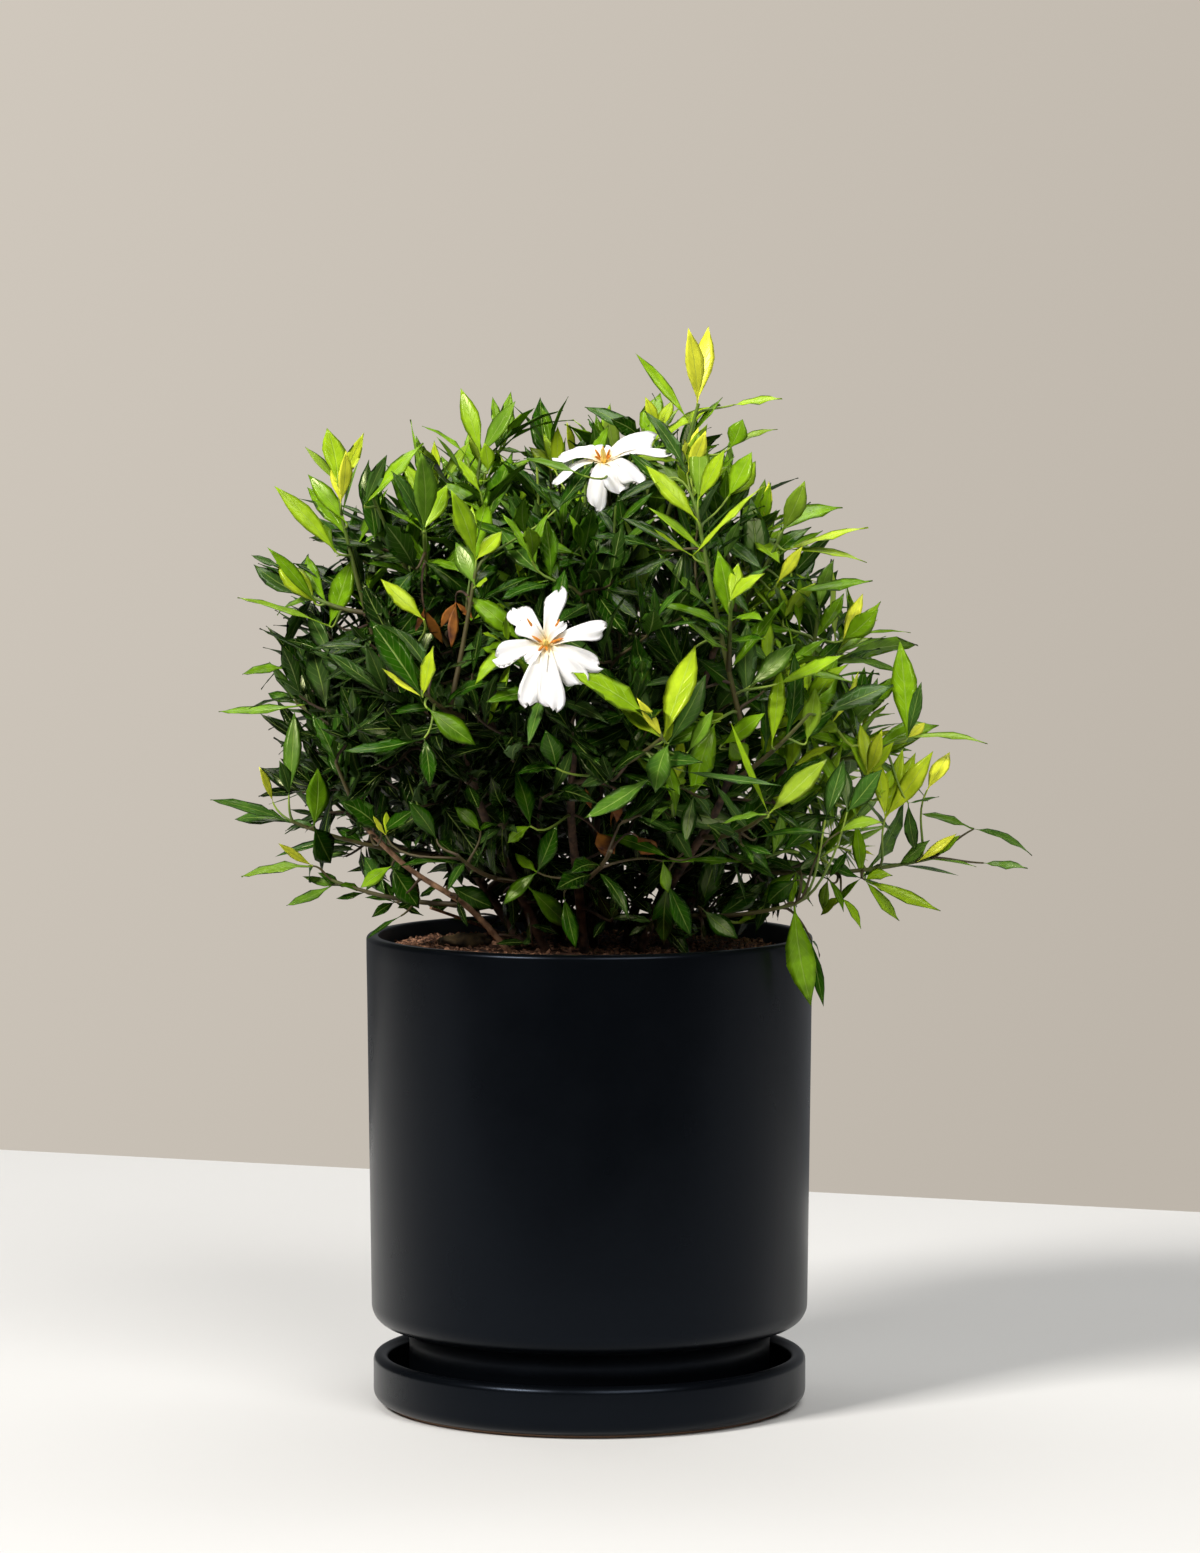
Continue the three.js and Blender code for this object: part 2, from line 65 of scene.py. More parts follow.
STEM_DEPTH = 16
STEM_RADIUS = 3.1
STEM_TIP_RADIUS = 2.0
TWIG_RADIUS = 1.6
TWIG_TIP_RADIUS = 1.0
TWIG_SAG = 0.1
FORK = 0.3

STEMS = {
    "left": [(-30, -8, 252), (-62, -10, 300), (-98, -18, 360), (-118, -30, 430)],
    "left_branch": [(-38, -34, 252), (-66, -53, 287), (-101, -66, 312), (-123, -75, 334)],
    "front_left": [(-20, -26, 252), (-42, -62, 305), (-62, -98, 355), (-70, -118, 400)],
    "front": [(-2, -32, 252), (-6, -62, 300), (-10, -95, 345), (-8, -118, 385)],
    "front_right": [(24, -28, 252), (45, -55, 300), (70, -88, 345), (85, -110, 390)],
    "right": [(36, -2, 252), (66, -6, 300), (100, -12, 345), (120, -20, 395)],
    "right_centre": [(18, 10, 252), (34, 8, 310), (54, -5, 370), (70, -15, 430)],
    "centre": [(3, -6, 252), (2, 4, 310), (10, -5, 380), (25, -12, 450)],
    "left_centre": [(-14, 8, 252), (-28, 8, 310), (-52, -8, 380), (-80, -25, 440)],
    "back_right": [(26, 30, 252), (50, 56, 305), (75, 88, 350), (90, 105, 400)],
    "back": [(0, 36, 252), (-5, 62, 305), (-10, 92, 355), (-12, 110, 410)],
    "back_left": [(-27, 28, 252), (-52, 52, 305), (-85, 76, 350), (-100, 88, 400)],
}

# name: (stem, fraction along it, twig tips, youth of the growth from 0 for old to 1 for new)
SHOOTS = {
    "crown": ("centre", 1, [(61, -40, 570), (30, -30, 556)], 0.5),
    "crown_back": ("centre", 0.9, [(5, 38, 545)], 0.4),
    "upper_right": ("front_right", 1, [(60, -118, 506), (77, -140, 464)], 0.45),
    "upper_left": ("left_centre", 1, [(-61, -20, 540), (-60, 45, 528)], 0.4),
    "left_crown": ("left_centre", 0.9, [(-123, -70, 526), (-91, -90, 500)], 0.4),
    "left_top": ("left", 1, [(-138, -50, 508), (-156, -30, 462)], 0.45),
    "left": ("left", 0.72, [(-166, 0, 400), (-150, 45, 440)], 0.25),
    "left_low": ("left", 0.42, [(-166, -25, 334), (-152, 50, 345)], 0.25),
    "left_bottom": ("left_branch", 0.5, [(-145, -40, 303)], 0.25),
    "left_front": ("left_branch", 1, [(-140, -85, 372)], 0.2),
    "front_left": ("front_left", 1, [(-90, -160, 416), (-62, -130, 478)], 0.25),
    "front_low_left": ("front_left", 0.42, [(-72, -135, 325)], 0.15),
    "front_centre": ("front", 0.85, [(39, -172, 391)], 0.25),
    "front_low": ("front", 0.45, [(12, -145, 328)], 0.1),
    "front_right": ("front_right", 0.62, [(97, -160, 350)], 0.25),
    "right_front": ("front_right", 0.82, [(120, -112, 400)], 0.3),
    "hanging": ("front_right", 0.3, [(114, -80, 293)], 0.25),
    "right_top": ("right_centre", 1, [(108, -40, 498), (75, 35, 520)], 0.45),
    "right": ("right", 1, [(129, -30, 455), (148, 45, 432)], 0.4),
    "right_mid": ("right", 0.82, [(178, -38, 383)], 0.45),
    "right_low": ("right", 0.45, [(192, -28, 314), (150, 60, 325)], 0.35),
    "back_right_low": ("back_right", 0.45, [(118, 105, 315)], 0.25),
    "back_right": ("back_right", 0.8, [(130, 95, 405), (60, 150, 400)], 0.3),
    "back_right_top": ("back_right", 1, [(85, 95, 495)], 0.45),
    "back_low": ("back", 0.5, [(30, 152, 320), (-45, 150, 332)], 0.2),
    "back": ("back", 0.85, [(-10, 168, 408)], 0.3),
    "back_top": ("back", 1, [(-25, 115, 500)], 0.45),
    "back_left_low": ("back_left", 0.5, [(-125, 110, 322)], 0.25),
    "back_left": ("back_left", 0.85, [(-125, 118, 405)], 0.3),
    "back_left_top": ("back_left", 1, [(-95, 85, 492)], 0.45),
}

# name: (stem, fraction along it, centre, direction it faces)
FLOWERS = {
    "front_flower": ("front", 1, (-23, -170, 441), (-0.05, -0.93, 0.36)),
    "top_flower": ("centre", 0.97, (8, -75, 541), (-0.1, -0.62, 0.78)),
}
FLOWER_DEPTH = 17

# --- The camera, and how a pixel of the 1200 x 1553 photograph is read at a depth ---

CAMERA_PLACE = (6, -3200, 580)
CAMERA_PITCH = 3.96
FOCAL_PIXELS = 5644
PHOTO_SIZE = (1200, 1553)
SENSOR = 36


def in_scene(name, data):
    """An object for a mesh, a light or a camera, in the scene."""
    obj = bpy.data.objects.new(name, data)
    bpy.context.scene.collection.objects.link(obj)
    return obj


def make_camera():
    camera = in_scene("camera", bpy.data.cameras.new("camera"))
    camera.location = [c * MM for c in CAMERA_PLACE]
    camera.rotation_euler = (math.radians(90 - CAMERA_PITCH), 0, 0)
    camera.data.lens = FOCAL_PIXELS / max(PHOTO_SIZE) * SENSOR
    camera.data.sensor_width = SENSOR
    bpy.context.scene.camera = camera


def seen_at(pixel, depth):
    """The point in millimetres that the photograph shows at a pixel, at a distance behind the pot's axis."""
    x, y = pixel
    ahead = depth - CAMERA_PLACE[1]
    fall = math.radians(CAMERA_PITCH) + math.atan((y - PHOTO_SIZE[1] / 2) / FOCAL_PIXELS)
    across = (x - PHOTO_SIZE[0] / 2) / FOCAL_PIXELS * ahead + CAMERA_PLACE[0]
    return np.array([across, depth, CAMERA_PLACE[2] - ahead * math.tan(fall)])


make_camera()

# --- Small helpers ---


def linear(code):
    """A colour for a shader from an sRGB hex value."""
    channels = [int(code[i:i + 2], 16) / 255 for i in (1, 3, 5)]
    return (*(c / 12.92 if c <= 0.04045 else ((c + 0.055) / 1.055) ** 2.4 for c in channels), 1)


def add(tree, kind, inputs=None, output=0, stops=None, **settings):
    """Adds a node with its settings, sets or links its inputs, and gives back one of its outputs."""
    node = tree.nodes.new(kind)
    for name, value in settings.items():
        setattr(node, name, value)
    for key, value in (inputs or {}).items():
        if isinstance(value, bpy.types.NodeSocket):
            tree.links.new(value, node.inputs[key])
        else:
            node.inputs[key].default_value = value
    for index, (position, code) in enumerate(stops or []):
        element = node.color_ramp.elements[index] if index < 2 else node.color_ramp.elements.new(position)
        element.position = position
        element.color = linear(code)
    return node.outputs[output] if len(node.outputs) else node


def socket(tree, name, kind, direction="INPUT"):
    """The identifier of a new named input or output of a node tree."""
    return tree.interface.new_socket(name=name, in_out=direction, socket_type=kind).identifier


def unit(vector):
    return vector / np.linalg.norm(vector)


def random_source(seed):
    """The same repeatable numbers from 0 to 1 as the CAD model draws for its leaves."""
    state = seed
    mask = 0xFFFFFFFF

    def draw():
        nonlocal state
        state = (state + 0x6D2B79F5) & mask
        t = ((state ^ (state >> 15)) * (state | 1)) & mask
        t ^= (t + (((t ^ (t >> 7)) * (t | 61)) & mask)) & mask
        return ((t ^ (t >> 14)) & mask) / 4294967296

    return draw


def mesh_object(name, points, faces, materials=()):
    """A smooth-shaded object at the origin from points in millimetres."""
    mesh = bpy.data.meshes.new(name)
    mesh.from_pydata([tuple(float(c) * MM for c in p) for p in points], [], faces)
    for material in materials:
        mesh.materials.append(material)
    mesh.shade_smooth()
    return in_scene(name, mesh)


def solid_from(obj, name):
    """The evaluated result as a plain mesh, with the modifiers gone."""
    graph = bpy.context.evaluated_depsgraph_get()
    mesh = bpy.data.meshes.new_from_object(obj.evaluated_get(graph), depsgraph=graph)
    mesh.name = name
    bpy.data.objects.remove(obj)
    return in_scene(name, mesh)


def write_uvs(mesh, values):
    layer = mesh.uv_layers.new(name="blade")
    for loop in mesh.loops:
        layer.data[loop.index].uv = values[loop.vertex_index]


def two_sheets(first, rows, columns, corners):
    """The faces of an upper and a lower sheet of points; corners lead round a face of the upper one."""
    faces = []
    for sheet, offsets in enumerate((corners, corners[::-1])):
        for row in range(rows - 1):
            start = first + (sheet * rows + row) * columns
            faces += [tuple(start + k + c for c in offsets) for k in range(columns - 1)]
    return faces


def join_sheets(mesh, distance):
    """Closes a thin two-sided shape by joining its upper and lower sheets where they meet at the edge."""
    work = bmesh.new()
    work.from_mesh(mesh)
    bmesh.ops.remove_doubles(work, verts=work.verts, dist=distance)
    work.to_mesh(mesh)
    work.free()


def place(piece, slot, *nodes):
    """Hangs a finished piece under the root body and hides the CAD nodes that it replaces."""
    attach(piece, "root")
    if nodes:
        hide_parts(*nodes)


# --- Curves ---

CURVE_STEPS = 24


class Path:
    """A smooth line that is read by the fraction of its length."""

    def __init__(self, points):
        self.points = np.array(points, float)
        steps = np.linalg.norm(np.diff(self.points, axis=0), axis=1)
        self.reach = np.concatenate([[0], np.cumsum(steps)])
        self.length = self.reach[-1]

    def at(self, share):
        where = min(max(share, 0), 1) * self.length
        return np.array([np.interp(where, self.reach, self.points[:, k]) for k in range(3)])

    def tangent(self, share):
        step = 0.02
        return unit(self.at(min(share + step, 1)) - self.at(max(share - step, 0)))


def catmull(points):
    """A centripetal Catmull-Rom line through the points."""
    p = [2 * points[0] - points[1], *points, 2 * points[-1] - points[-2]]
    line = []
    for a, b, c, d in zip(p, p[1:], p[2:], p[3:]):
        ab, bc, cd = (math.sqrt(np.linalg.norm(end - start)) for start, end in ((a, b), (b, c), (c, d)))
        leaving = ((b - a) / ab - (c - a) / (ab + bc) + (c - b) / bc) * bc
        arriving = ((c - b) / bc - (d - b) / (bc + cd) + (d - c) / cd) * bc
        for t in np.arange(CURVE_STEPS) / CURVE_STEPS:
            line.append(b + leaving * t + (3 * (c - b) - 2 * leaving - arriving) * t ** 2
                        + (2 * (b - c) + leaving + arriving) * t ** 3)
    return Path([*line, points[-1]])


def bezier(a, b, c):
    t = np.linspace(0, 1, CURVE_STEPS + 1)[:, None]
    return Path((1 - t) ** 2 * a + 2 * t * (1 - t) * b + t ** 2 * c)


def stem_path(points):
    start, following = np.array(points[0], float), np.array(points[1], float)
    root = start - unit(following - start) * STEM_DEPTH
    return catmull([root, *(np.array(p, float) for p in points[1:])])


def twig_path(start, tip):
    tip = np.array(tip, float)
    middle = (start + tip) / 2 - np.array([0, 0, TWIG_SAG * np.linalg.norm(tip - start)])
    return bezier(start, middle, tip)


def flower_twig_path(start, end, axis):
    return bezier(start, end - axis * 0.35 * np.linalg.norm(end - start), end)


STEM_PATHS = {name: stem_path(points) for name, points in STEMS.items()}

# --- Lights, world and floor ---

# The wall is lighter at the top left; the camera sees it about 6 degrees to each side.
WALL_LIGHT = "#cfc7bc"
WALL_DARK = "#bdb5aa"
# The floor's far edge, where the wall starts, runs a little nearer at the right (metres).
FLOOR_BACK_LEFT = (-0.445, 1.064)
FLOOR_BACK_RIGHT = (0.426, 0.741)
FLOOR_SIDE = 2.2
FLOOR_NEAR = -0.65


def make_light(name, spot, target, size, watts, colour="#ffffff"):
    data = bpy.data.lights.new(name, "AREA")
    data.shape = "RECTANGLE"
    data.size, data.size_y = size
    data.energy = watts
    data.color = linear(colour)[:3]
    lamp = in_scene(name, data)
    lamp.location = spot
    lamp.rotation_euler = (Vector(target) - Vector(spot)).to_track_quat("-Z", "Y").to_euler()
    lamp.visible_camera = False


def make_world():
    """A plain wall colour behind the plant, and a dimmer soft light from all round it."""
    world = bpy.data.worlds.new("studio")
    bpy.context.scene.world = world
    world.use_nodes = True
    tree = world.node_tree
    tree.nodes.clear()
    direction = add(tree, "ShaderNodeTexCoord", output="Generated")
    fading = add(tree, "ShaderNodeVectorMath", {0: direction, 1: (0.86, 0.0, -0.5)}, output="Value",
                 operation="DOT_PRODUCT")
    share = add(tree, "ShaderNodeMapRange", {"Value": fading, "From Min": -0.12, "From Max": 0.14})
    colour = add(tree, "ShaderNodeMix", {0: share, 6: linear(WALL_LIGHT), 7: linear(WALL_DARK)},
                 output=2, data_type="RGBA")
    wall = add(tree, "ShaderNodeBackground", {"Color": colour, "Strength": 1.0})
    # Other rays meet the lit wall low down, at the sides and behind, brighter at the right, or a dim room.
    heading = add(tree, "ShaderNodeSeparateXYZ", {0: direction}).node.outputs
    near_wall = add(tree, "ShaderNodeMapRange", {"Value": heading["Y"], "From Min": -0.4, "From Max": 0.3})
    under_top = add(tree, "ShaderNodeMapRange", {
        "Value": heading["Z"], "From Min": 0.25, "From Max": 0.6, "To Min": 1.0, "To Max": 0.1})
    on_wall = add(tree, "ShaderNodeMath", {0: near_wall, 1: under_top}, operation="MULTIPLY")
    wall_glow = add(tree, "ShaderNodeMapRange", {
        "Value": heading["X"], "From Min": -1.0, "From Max": 1.0, "To Min": 0.08, "To Max": 0.38})
    glow = add(tree, "ShaderNodeMapRange", {"Value": on_wall, "To Min": 0.01, "To Max": wall_glow})
    ambient = add(tree, "ShaderNodeBackground", {"Color": linear("#e9ecf0"), "Strength": glow})
    to_camera = add(tree, "ShaderNodeLightPath", output="Is Camera Ray")
    both = add(tree, "ShaderNodeMixShader", {0: to_camera, 1: ambient, 2: wall})
    add(tree, "ShaderNodeOutputWorld", {"Surface": both})


def make_floor(material):
    (x0, y0), (x1, y1) = FLOOR_BACK_LEFT, FLOOR_BACK_RIGHT
    slope = (y1 - y0) / (x1 - x0)
    corners = [(-FLOOR_SIDE, FLOOR_NEAR), (FLOOR_SIDE, FLOOR_NEAR),
               (FLOOR_SIDE, y0 + slope * (FLOOR_SIDE - x0)), (-FLOOR_SIDE, y0 + slope * (-FLOOR_SIDE - x0))]
    mesh_object("studio_floor", [(x / MM, y / MM, 0) for x, y in corners],
                         [(0, 1, 2, 3)], [material])


make_world()
make_light("key", (-3.8, -3.8, 4.6), (0, 0, 0.3), (1.6, 1.6), 545, "#fffcf9")
make_light("right", (2.0, -4.7, 4.6), (0, 0, 0.35), (3.6, 3.0), 262, "#fffefd")
make_light("top", (0.0, 1.0, 2.6), (0, 0, 0.4), (3.2, 1.0), 32)
bpy.context.scene.view_settings.view_transform = "Standard"

# --- Materials ---


def new_material(name, **constants):
    """A material and its shader, whose constants are set on the shader's own sockets."""
    material = bpy.data.materials.new(name)
    material.use_nodes = True
    tree = material.node_tree
    tree.nodes.clear()
    surface = add(tree, "ShaderNodeBsdfPrincipled")
    shader = surface.node
    for label, value in constants.items():
        shader.inputs[label.replace("_", " ")].default_value = value
    add(tree, "ShaderNodeOutputMaterial", {"Surface": surface})
    return material, tree, shader


def finish_shader(tree, shader, colour=None, roughness=None, height=None, relief=0.0, strength=1.0):
    """Links the patterns to the shader; relief is the bump's height in millimetres."""
    if colour is not None:
        tree.links.new(colour, shader.inputs["Base Color"])
    if roughness is not None:
        tree.links.new(roughness, shader.inputs["Roughness"])
    if height is not None:
        normal = add(tree, "ShaderNodeBump", {
            "Height": height, "Distance": relief * MM, "Strength": strength})
        tree.links.new(normal, shader.inputs["Normal"])


def glazed_stoneware(name, dark, light, smoothest, roughest):
    """Stoneware under a matte black glaze: nearly black with a blue cast, softly shining at its edges."""
    material, tree, shader = new_material(
        name, IOR=1.5, Specular_IOR_Level=0.17, Specular_Tint=linear("#c4d6f2"))
    where = add(tree, "ShaderNodeTexCoord", output="Object")
    # The glaze pools in clouds about 40 mm wide, and its skin is pitted every 1.6 mm.
    cloud = add(tree, "ShaderNodeTexNoise", {"Vector": where, "Scale": 1 / (40 * MM), "Detail": 3.0})
    pits = add(tree, "ShaderNodeTexNoise", {"Vector": where, "Scale": 1 / (1.6 * MM), "Detail": 2.0})
    colour = add(tree, "ShaderNodeMix", {0: cloud, 6: linear(dark), 7: linear(light)},
                 output=2, data_type="RGBA")
    rough = add(tree, "ShaderNodeMapRange", {"Value": cloud, "To Min": smoothest, "To Max": roughest})
    finish_shader(tree, shader, colour, rough, pits, 0.05, 0.35)
    return material


def bare_clay():
    """The unglazed foot: fired brown clay, dry and rough."""
    material, tree, shader = new_material("bare_fired_clay", Roughness=0.9, IOR=1.5)
    where = add(tree, "ShaderNodeTexCoord", output="Object")
    grit = add(tree, "ShaderNodeTexNoise", {"Vector": where, "Scale": 1 / (1.5 * MM), "Detail": 4.0})
    colour = add(tree, "ShaderNodeMix", {0: grit, 6: linear("#6d5442"), 7: linear("#8a6c55")},
                 output=2, data_type="RGBA")
    finish_shader(tree, shader, colour, None, grit, 0.2)
    return material


def leaf_surface(name, stops, cool_colour, vein_colour, vein_share, relief, **constants):
    """A leaf's skin. Its UV runs across the leaf with the midrib at 0.5, and up it from base to tip."""
    material, tree, shader = new_material(name, **constants)
    # The youth value read here sets the leaf's colour; it carries painted light and shade as well as age.
    youth = add(tree, "ShaderNodeAttribute", output="Fac", attribute_name="youth")
    tone = add(tree, "ShaderNodeAttribute", output="Fac", attribute_name="tone")
    blade = add(tree, "ShaderNodeUVMap", uv_map="blade")
    on_blade = add(tree, "ShaderNodeSeparateXYZ", {0: blade}).node.outputs
    from_middle = add(tree, "ShaderNodeMath", {0: on_blade["X"], 1: 0.5}, operation="SUBTRACT")
    away = add(tree, "ShaderNodeMath", {0: from_middle}, operation="ABSOLUTE")
    # The midrib is about 1 mm of a 14 mm leaf, and nine side veins leave it, one every 5 mm of its length.
    midrib = add(tree, "ShaderNodeMapRange", {
        "Value": away, "From Min": 0.012, "From Max": 0.04, "To Min": 1.0, "To Max": 0.0})
    steps = add(tree, "ShaderNodeMath", {0: on_blade["Y"], 1: 9.0}, operation="MULTIPLY")
    lag = add(tree, "ShaderNodeMath", {0: away, 1: 4.0}, operation="MULTIPLY")
    slant = add(tree, "ShaderNodeMath", {0: steps, 1: lag}, operation="SUBTRACT")
    vein = add(tree, "ShaderNodeMath", {0: slant, 1: 0.5}, operation="PINGPONG")
    thin_vein = add(tree, "ShaderNodeMapRange", {
        "Value": vein, "From Min": 0.0, "From Max": 0.07, "To Min": 0.4, "To Max": 0.0})
    veins = add(tree, "ShaderNodeMath", {0: midrib, 1: thin_vein}, operation="MAXIMUM")
    where = add(tree, "ShaderNodeTexCoord", output="Object")
    blotch = add(tree, "ShaderNodeTexNoise", {"Vector": where, "Scale": 1 / (9 * MM), "Detail": 3.0})
    stray = add(tree, "ShaderNodeMapRange", {"Value": blotch, "To Min": -0.1, "To Max": 0.1})
    age = add(tree, "ShaderNodeMath", {0: youth, 1: stray}, operation="ADD")
    green = add(tree, "ShaderNodeValToRGB", {"Fac": age}, stops=stops)
    # A cool grey-green is mixed in where the tone is high: a random tone on most leaves, and painted sheen on
    # the sprays' grey leaves.
    cool = add(tree, "ShaderNodeMapRange", {"Value": tone, "From Min": 0.75, "To Min": 0.0, "To Max": 0.6})
    cooled = add(tree, "ShaderNodeMix", {0: cool, 6: green, 7: linear(cool_colour)},
                 output=2, data_type="RGBA")
    shade = add(tree, "ShaderNodeMapRange", {
        "Value": blotch, "From Min": 0.3, "From Max": 0.7, "To Min": 0.85, "To Max": 1.15})
    shaded = add(tree, "ShaderNodeVectorMath", {0: cooled, "Scale": shade}, operation="SCALE")
    share = add(tree, "ShaderNodeMath", {0: veins, 1: vein_share}, operation="MULTIPLY")
    colour = add(tree, "ShaderNodeMix", {0: share, 6: shaded, 7: linear(vein_colour)},
                 output=2, data_type="RGBA")
    plain = constants["Roughness"]
    rough = add(tree, "ShaderNodeMapRange", {"Value": blotch, "To Min": plain - 0.08, "To Max": plain + 0.1})
    finish_shader(tree, shader, colour, rough, veins, relief, 0.8)
    return material


def petal_skin():
    """Waxy cream-white petals, faintly ribbed, a little yellow where they meet in the throat."""
    material, tree, shader = new_material(
        "waxy_petal", IOR=1.4, Roughness=0.5, Subsurface_Weight=0.2,
        Subsurface_Radius=(0.003, 0.0025, 0.0015), Subsurface_Scale=1.0)
    blade = add(tree, "ShaderNodeUVMap", uv_map="blade")
    along = add(tree, "ShaderNodeSeparateXYZ", {0: blade}, output="Y")
    where = add(tree, "ShaderNodeTexCoord", output="Object")
    stain = add(tree, "ShaderNodeTexNoise", {"Vector": where, "Scale": 1 / (8 * MM), "Detail": 3.0})
    body = add(tree, "ShaderNodeValToRGB", {"Fac": along}, stops=[
        (0.0, "#f2cf6e"), (0.12, "#fcf0cc"), (0.35, "#fefaf2"), (1.0, "#fffdfb")])
    share = add(tree, "ShaderNodeMapRange", {"Value": stain, "To Min": 0.0, "To Max": 0.12})
    colour = add(tree, "ShaderNodeMix", {0: share, 6: body, 7: linear("#f3e7cf")},
                 output=2, data_type="RGBA")
    # A petal has about ten fine ribs along it.
    stretched = add(tree, "ShaderNodeVectorMath", {0: blade, 1: (10.0, 1.2, 1.0)}, operation="MULTIPLY")
    ribs = add(tree, "ShaderNodeTexNoise", {"Vector": stretched, "Scale": 1.0, "Detail": 2.0})
    finish_shader(tree, shader, colour, None, ribs, 0.35, 0.6)
    return material


def rough_organic(name, dark, light, grain, relief, **constants):
    """A dull natural surface that wanders between two colours, with a grain in millimetres."""
    material, tree, shader = new_material(name, IOR=1.45, **constants)
    where = add(tree, "ShaderNodeTexCoord", output="Object")
    patches = add(tree, "ShaderNodeTexNoise", {"Vector": where, "Scale": 1 / (grain * MM), "Detail": 5.0})
    share = add(tree, "ShaderNodeMapRange", {"Value": patches, "From Min": 0.35, "From Max": 0.65})
    colour = add(tree, "ShaderNodeMix", {0: share, 6: linear(dark), 7: linear(light)},
                 output=2, data_type="RGBA")
    fine = add(tree, "ShaderNodeTexNoise", {"Vector": where, "Scale": 3 / (grain * MM), "Detail": 3.0})
    finish_shader(tree, shader, colour, None, fine, relief)
    return material


def twig_skin():
    """Twigs are green and smooth where they are young, and turn to dull brown bark with age; the crown's
    twigs take its painted light too, greener at the top and right.
    """
    material, tree, shader = new_material("green_twig", Roughness=0.6, IOR=1.45)
    youth = add(tree, "ShaderNodeAttribute", output="Fac", attribute_name="youth")
    where = add(tree, "ShaderNodeTexCoord", output="Object")
    patches = add(tree, "ShaderNodeTexNoise", {"Vector": where, "Scale": 1 / (5 * MM), "Detail": 4.0})
    stray = add(tree, "ShaderNodeMapRange", {"Value": patches, "To Min": -0.12, "To Max": 0.12})
    age = add(tree, "ShaderNodeMath", {0: youth, 1: stray}, operation="ADD")
    colour = add(tree, "ShaderNodeValToRGB", {"Fac": age}, stops=[
        (0.0, "#3a281c"), (0.2, "#4b4420"), (0.45, "#5f7a28"), (1.0, "#a9c043")])
    finish_shader(tree, shader, colour, None, patches, 0.15)
    return material


def floor_paint():
    """A painted board: pale, smooth and matte, with the faintest clouding."""
    material, tree, shader = new_material("pale_matte_board", Roughness=0.85, IOR=1.45)
    where = add(tree, "ShaderNodeTexCoord", output="Object")
    cloud = add(tree, "ShaderNodeTexNoise", {"Vector": where, "Scale": 1 / (300 * MM)})
    colour = add(tree, "ShaderNodeMix", {0: cloud, 6: linear("#dddcd9"), 7: linear("#d9d8d5")},
                 output=2, data_type="RGBA")
    finish_shader(tree, shader, colour)
    return material


GLAZE = glazed_stoneware("matte_black_glaze", "#030406", "#07090c", 0.24, 0.34)
# Inside, above the soil, the glaze is painted a dull light grey: painted sheen that stands in for the glossy
# light the inner wall catches.
INNER_GLAZE_PAINTED_SHEEN = glazed_stoneware("dusty_glaze_inside", "#3e444a", "#686e75", 0.5, 0.65)
CLAY = bare_clay()
# The stops lead from older dark green leaves to the yellow of new growth. The value they read carries painted
# light and shade as well as age, so the darkest stops also paint the shade deep in the crown.
LEAF_TOP = leaf_surface("glossy_leaf_top", [
    (0.0, "#061602"), (0.2, "#244f04"), (0.4, "#76a212"),
    (0.6, "#9abc1e"), (0.8, "#b0c624"), (1.0, "#f0f244")],
    "#4a6c2e", "#a8c25c", 0.35, -0.25, Roughness=0.2, IOR=1.45, Specular_IOR_Level=0.34,
    Specular_Tint=linear("#eef4b4"))
LEAF_UNDER = leaf_surface("matte_leaf_underside", [
    (0.0, "#203a08"), (0.2, "#38600c"), (0.4, "#74a018"),
    (0.6, "#98bc26"), (0.8, "#b4ce34"), (1.0, "#eef250")],
    "#5c7a48", "#bccf78", 0.4, 0.25, Roughness=0.5, IOR=1.45, Specular_IOR_Level=0.2)
PETAL = petal_skin()
YOUNG_BARK = rough_organic("smooth_young_bark", "#6a4c36", "#b58d6a", 5, 0.3, Roughness=0.75)
BARK = rough_organic("thin_brown_bark", "#251a13", "#644b39", 6, 0.5, Roughness=0.85)
TWIG = twig_skin()
SOIL = rough_organic("damp_potting_mix", "#2a1a12", "#76503a", 4, 1.0, Roughness=0.95)
CRUMB = rough_organic("soil_crumb", "#3c271b", "#c89473", 3, 0.4, Roughness=0.95)
CHIP_BARK = rough_organic("olive_bark_chip", "#221a0e", "#5c4a2a", 7, 0.6, Roughness=0.8)
DRY_LEAF = rough_organic("withered_leaf", "#4c230c", "#b06c1e", 10, 0.4, Roughness=0.7)
POLLEN = rough_organic("pollen_coated_anther", "#c46c1c", "#eca238", 1.5, 0.2, Roughness=0.8)
STYLE_SKIN = rough_organic("fleshy_style", "#edc750", "#fae48c", 2, 0.1, Roughness=0.5)
SEPAL_SKIN = rough_organic("green_sepal", "#5d7f2a", "#9bb650", 3, 0.15, Roughness=0.55)
make_floor(floor_paint())

# --- Pot and saucer: turned shapes around the Z axis, sized from the frame ---

ROUND_SIDES = 192
POT_FOOT = 103


def node_size(node):
    """A round node's radius, its underside and its top in millimetres."""
    low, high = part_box(node)
    return high.x / MM, low.z / MM, high.z / MM


def arc(centre, radius, start, end, steps):
    angles = [math.radians(start + (end - start) * i / steps) for i in range(steps + 1)]
    return [(centre[0] + radius * math.cos(a), centre[1] + radius * math.sin(a)) for a in angles]


def circle(radius, sides):
    """Places all round the axis at a radius."""
    angles = [2 * math.pi * k / sides for k in range(sides)]
    return [(radius * math.cos(a), radius * math.sin(a)) for a in angles]


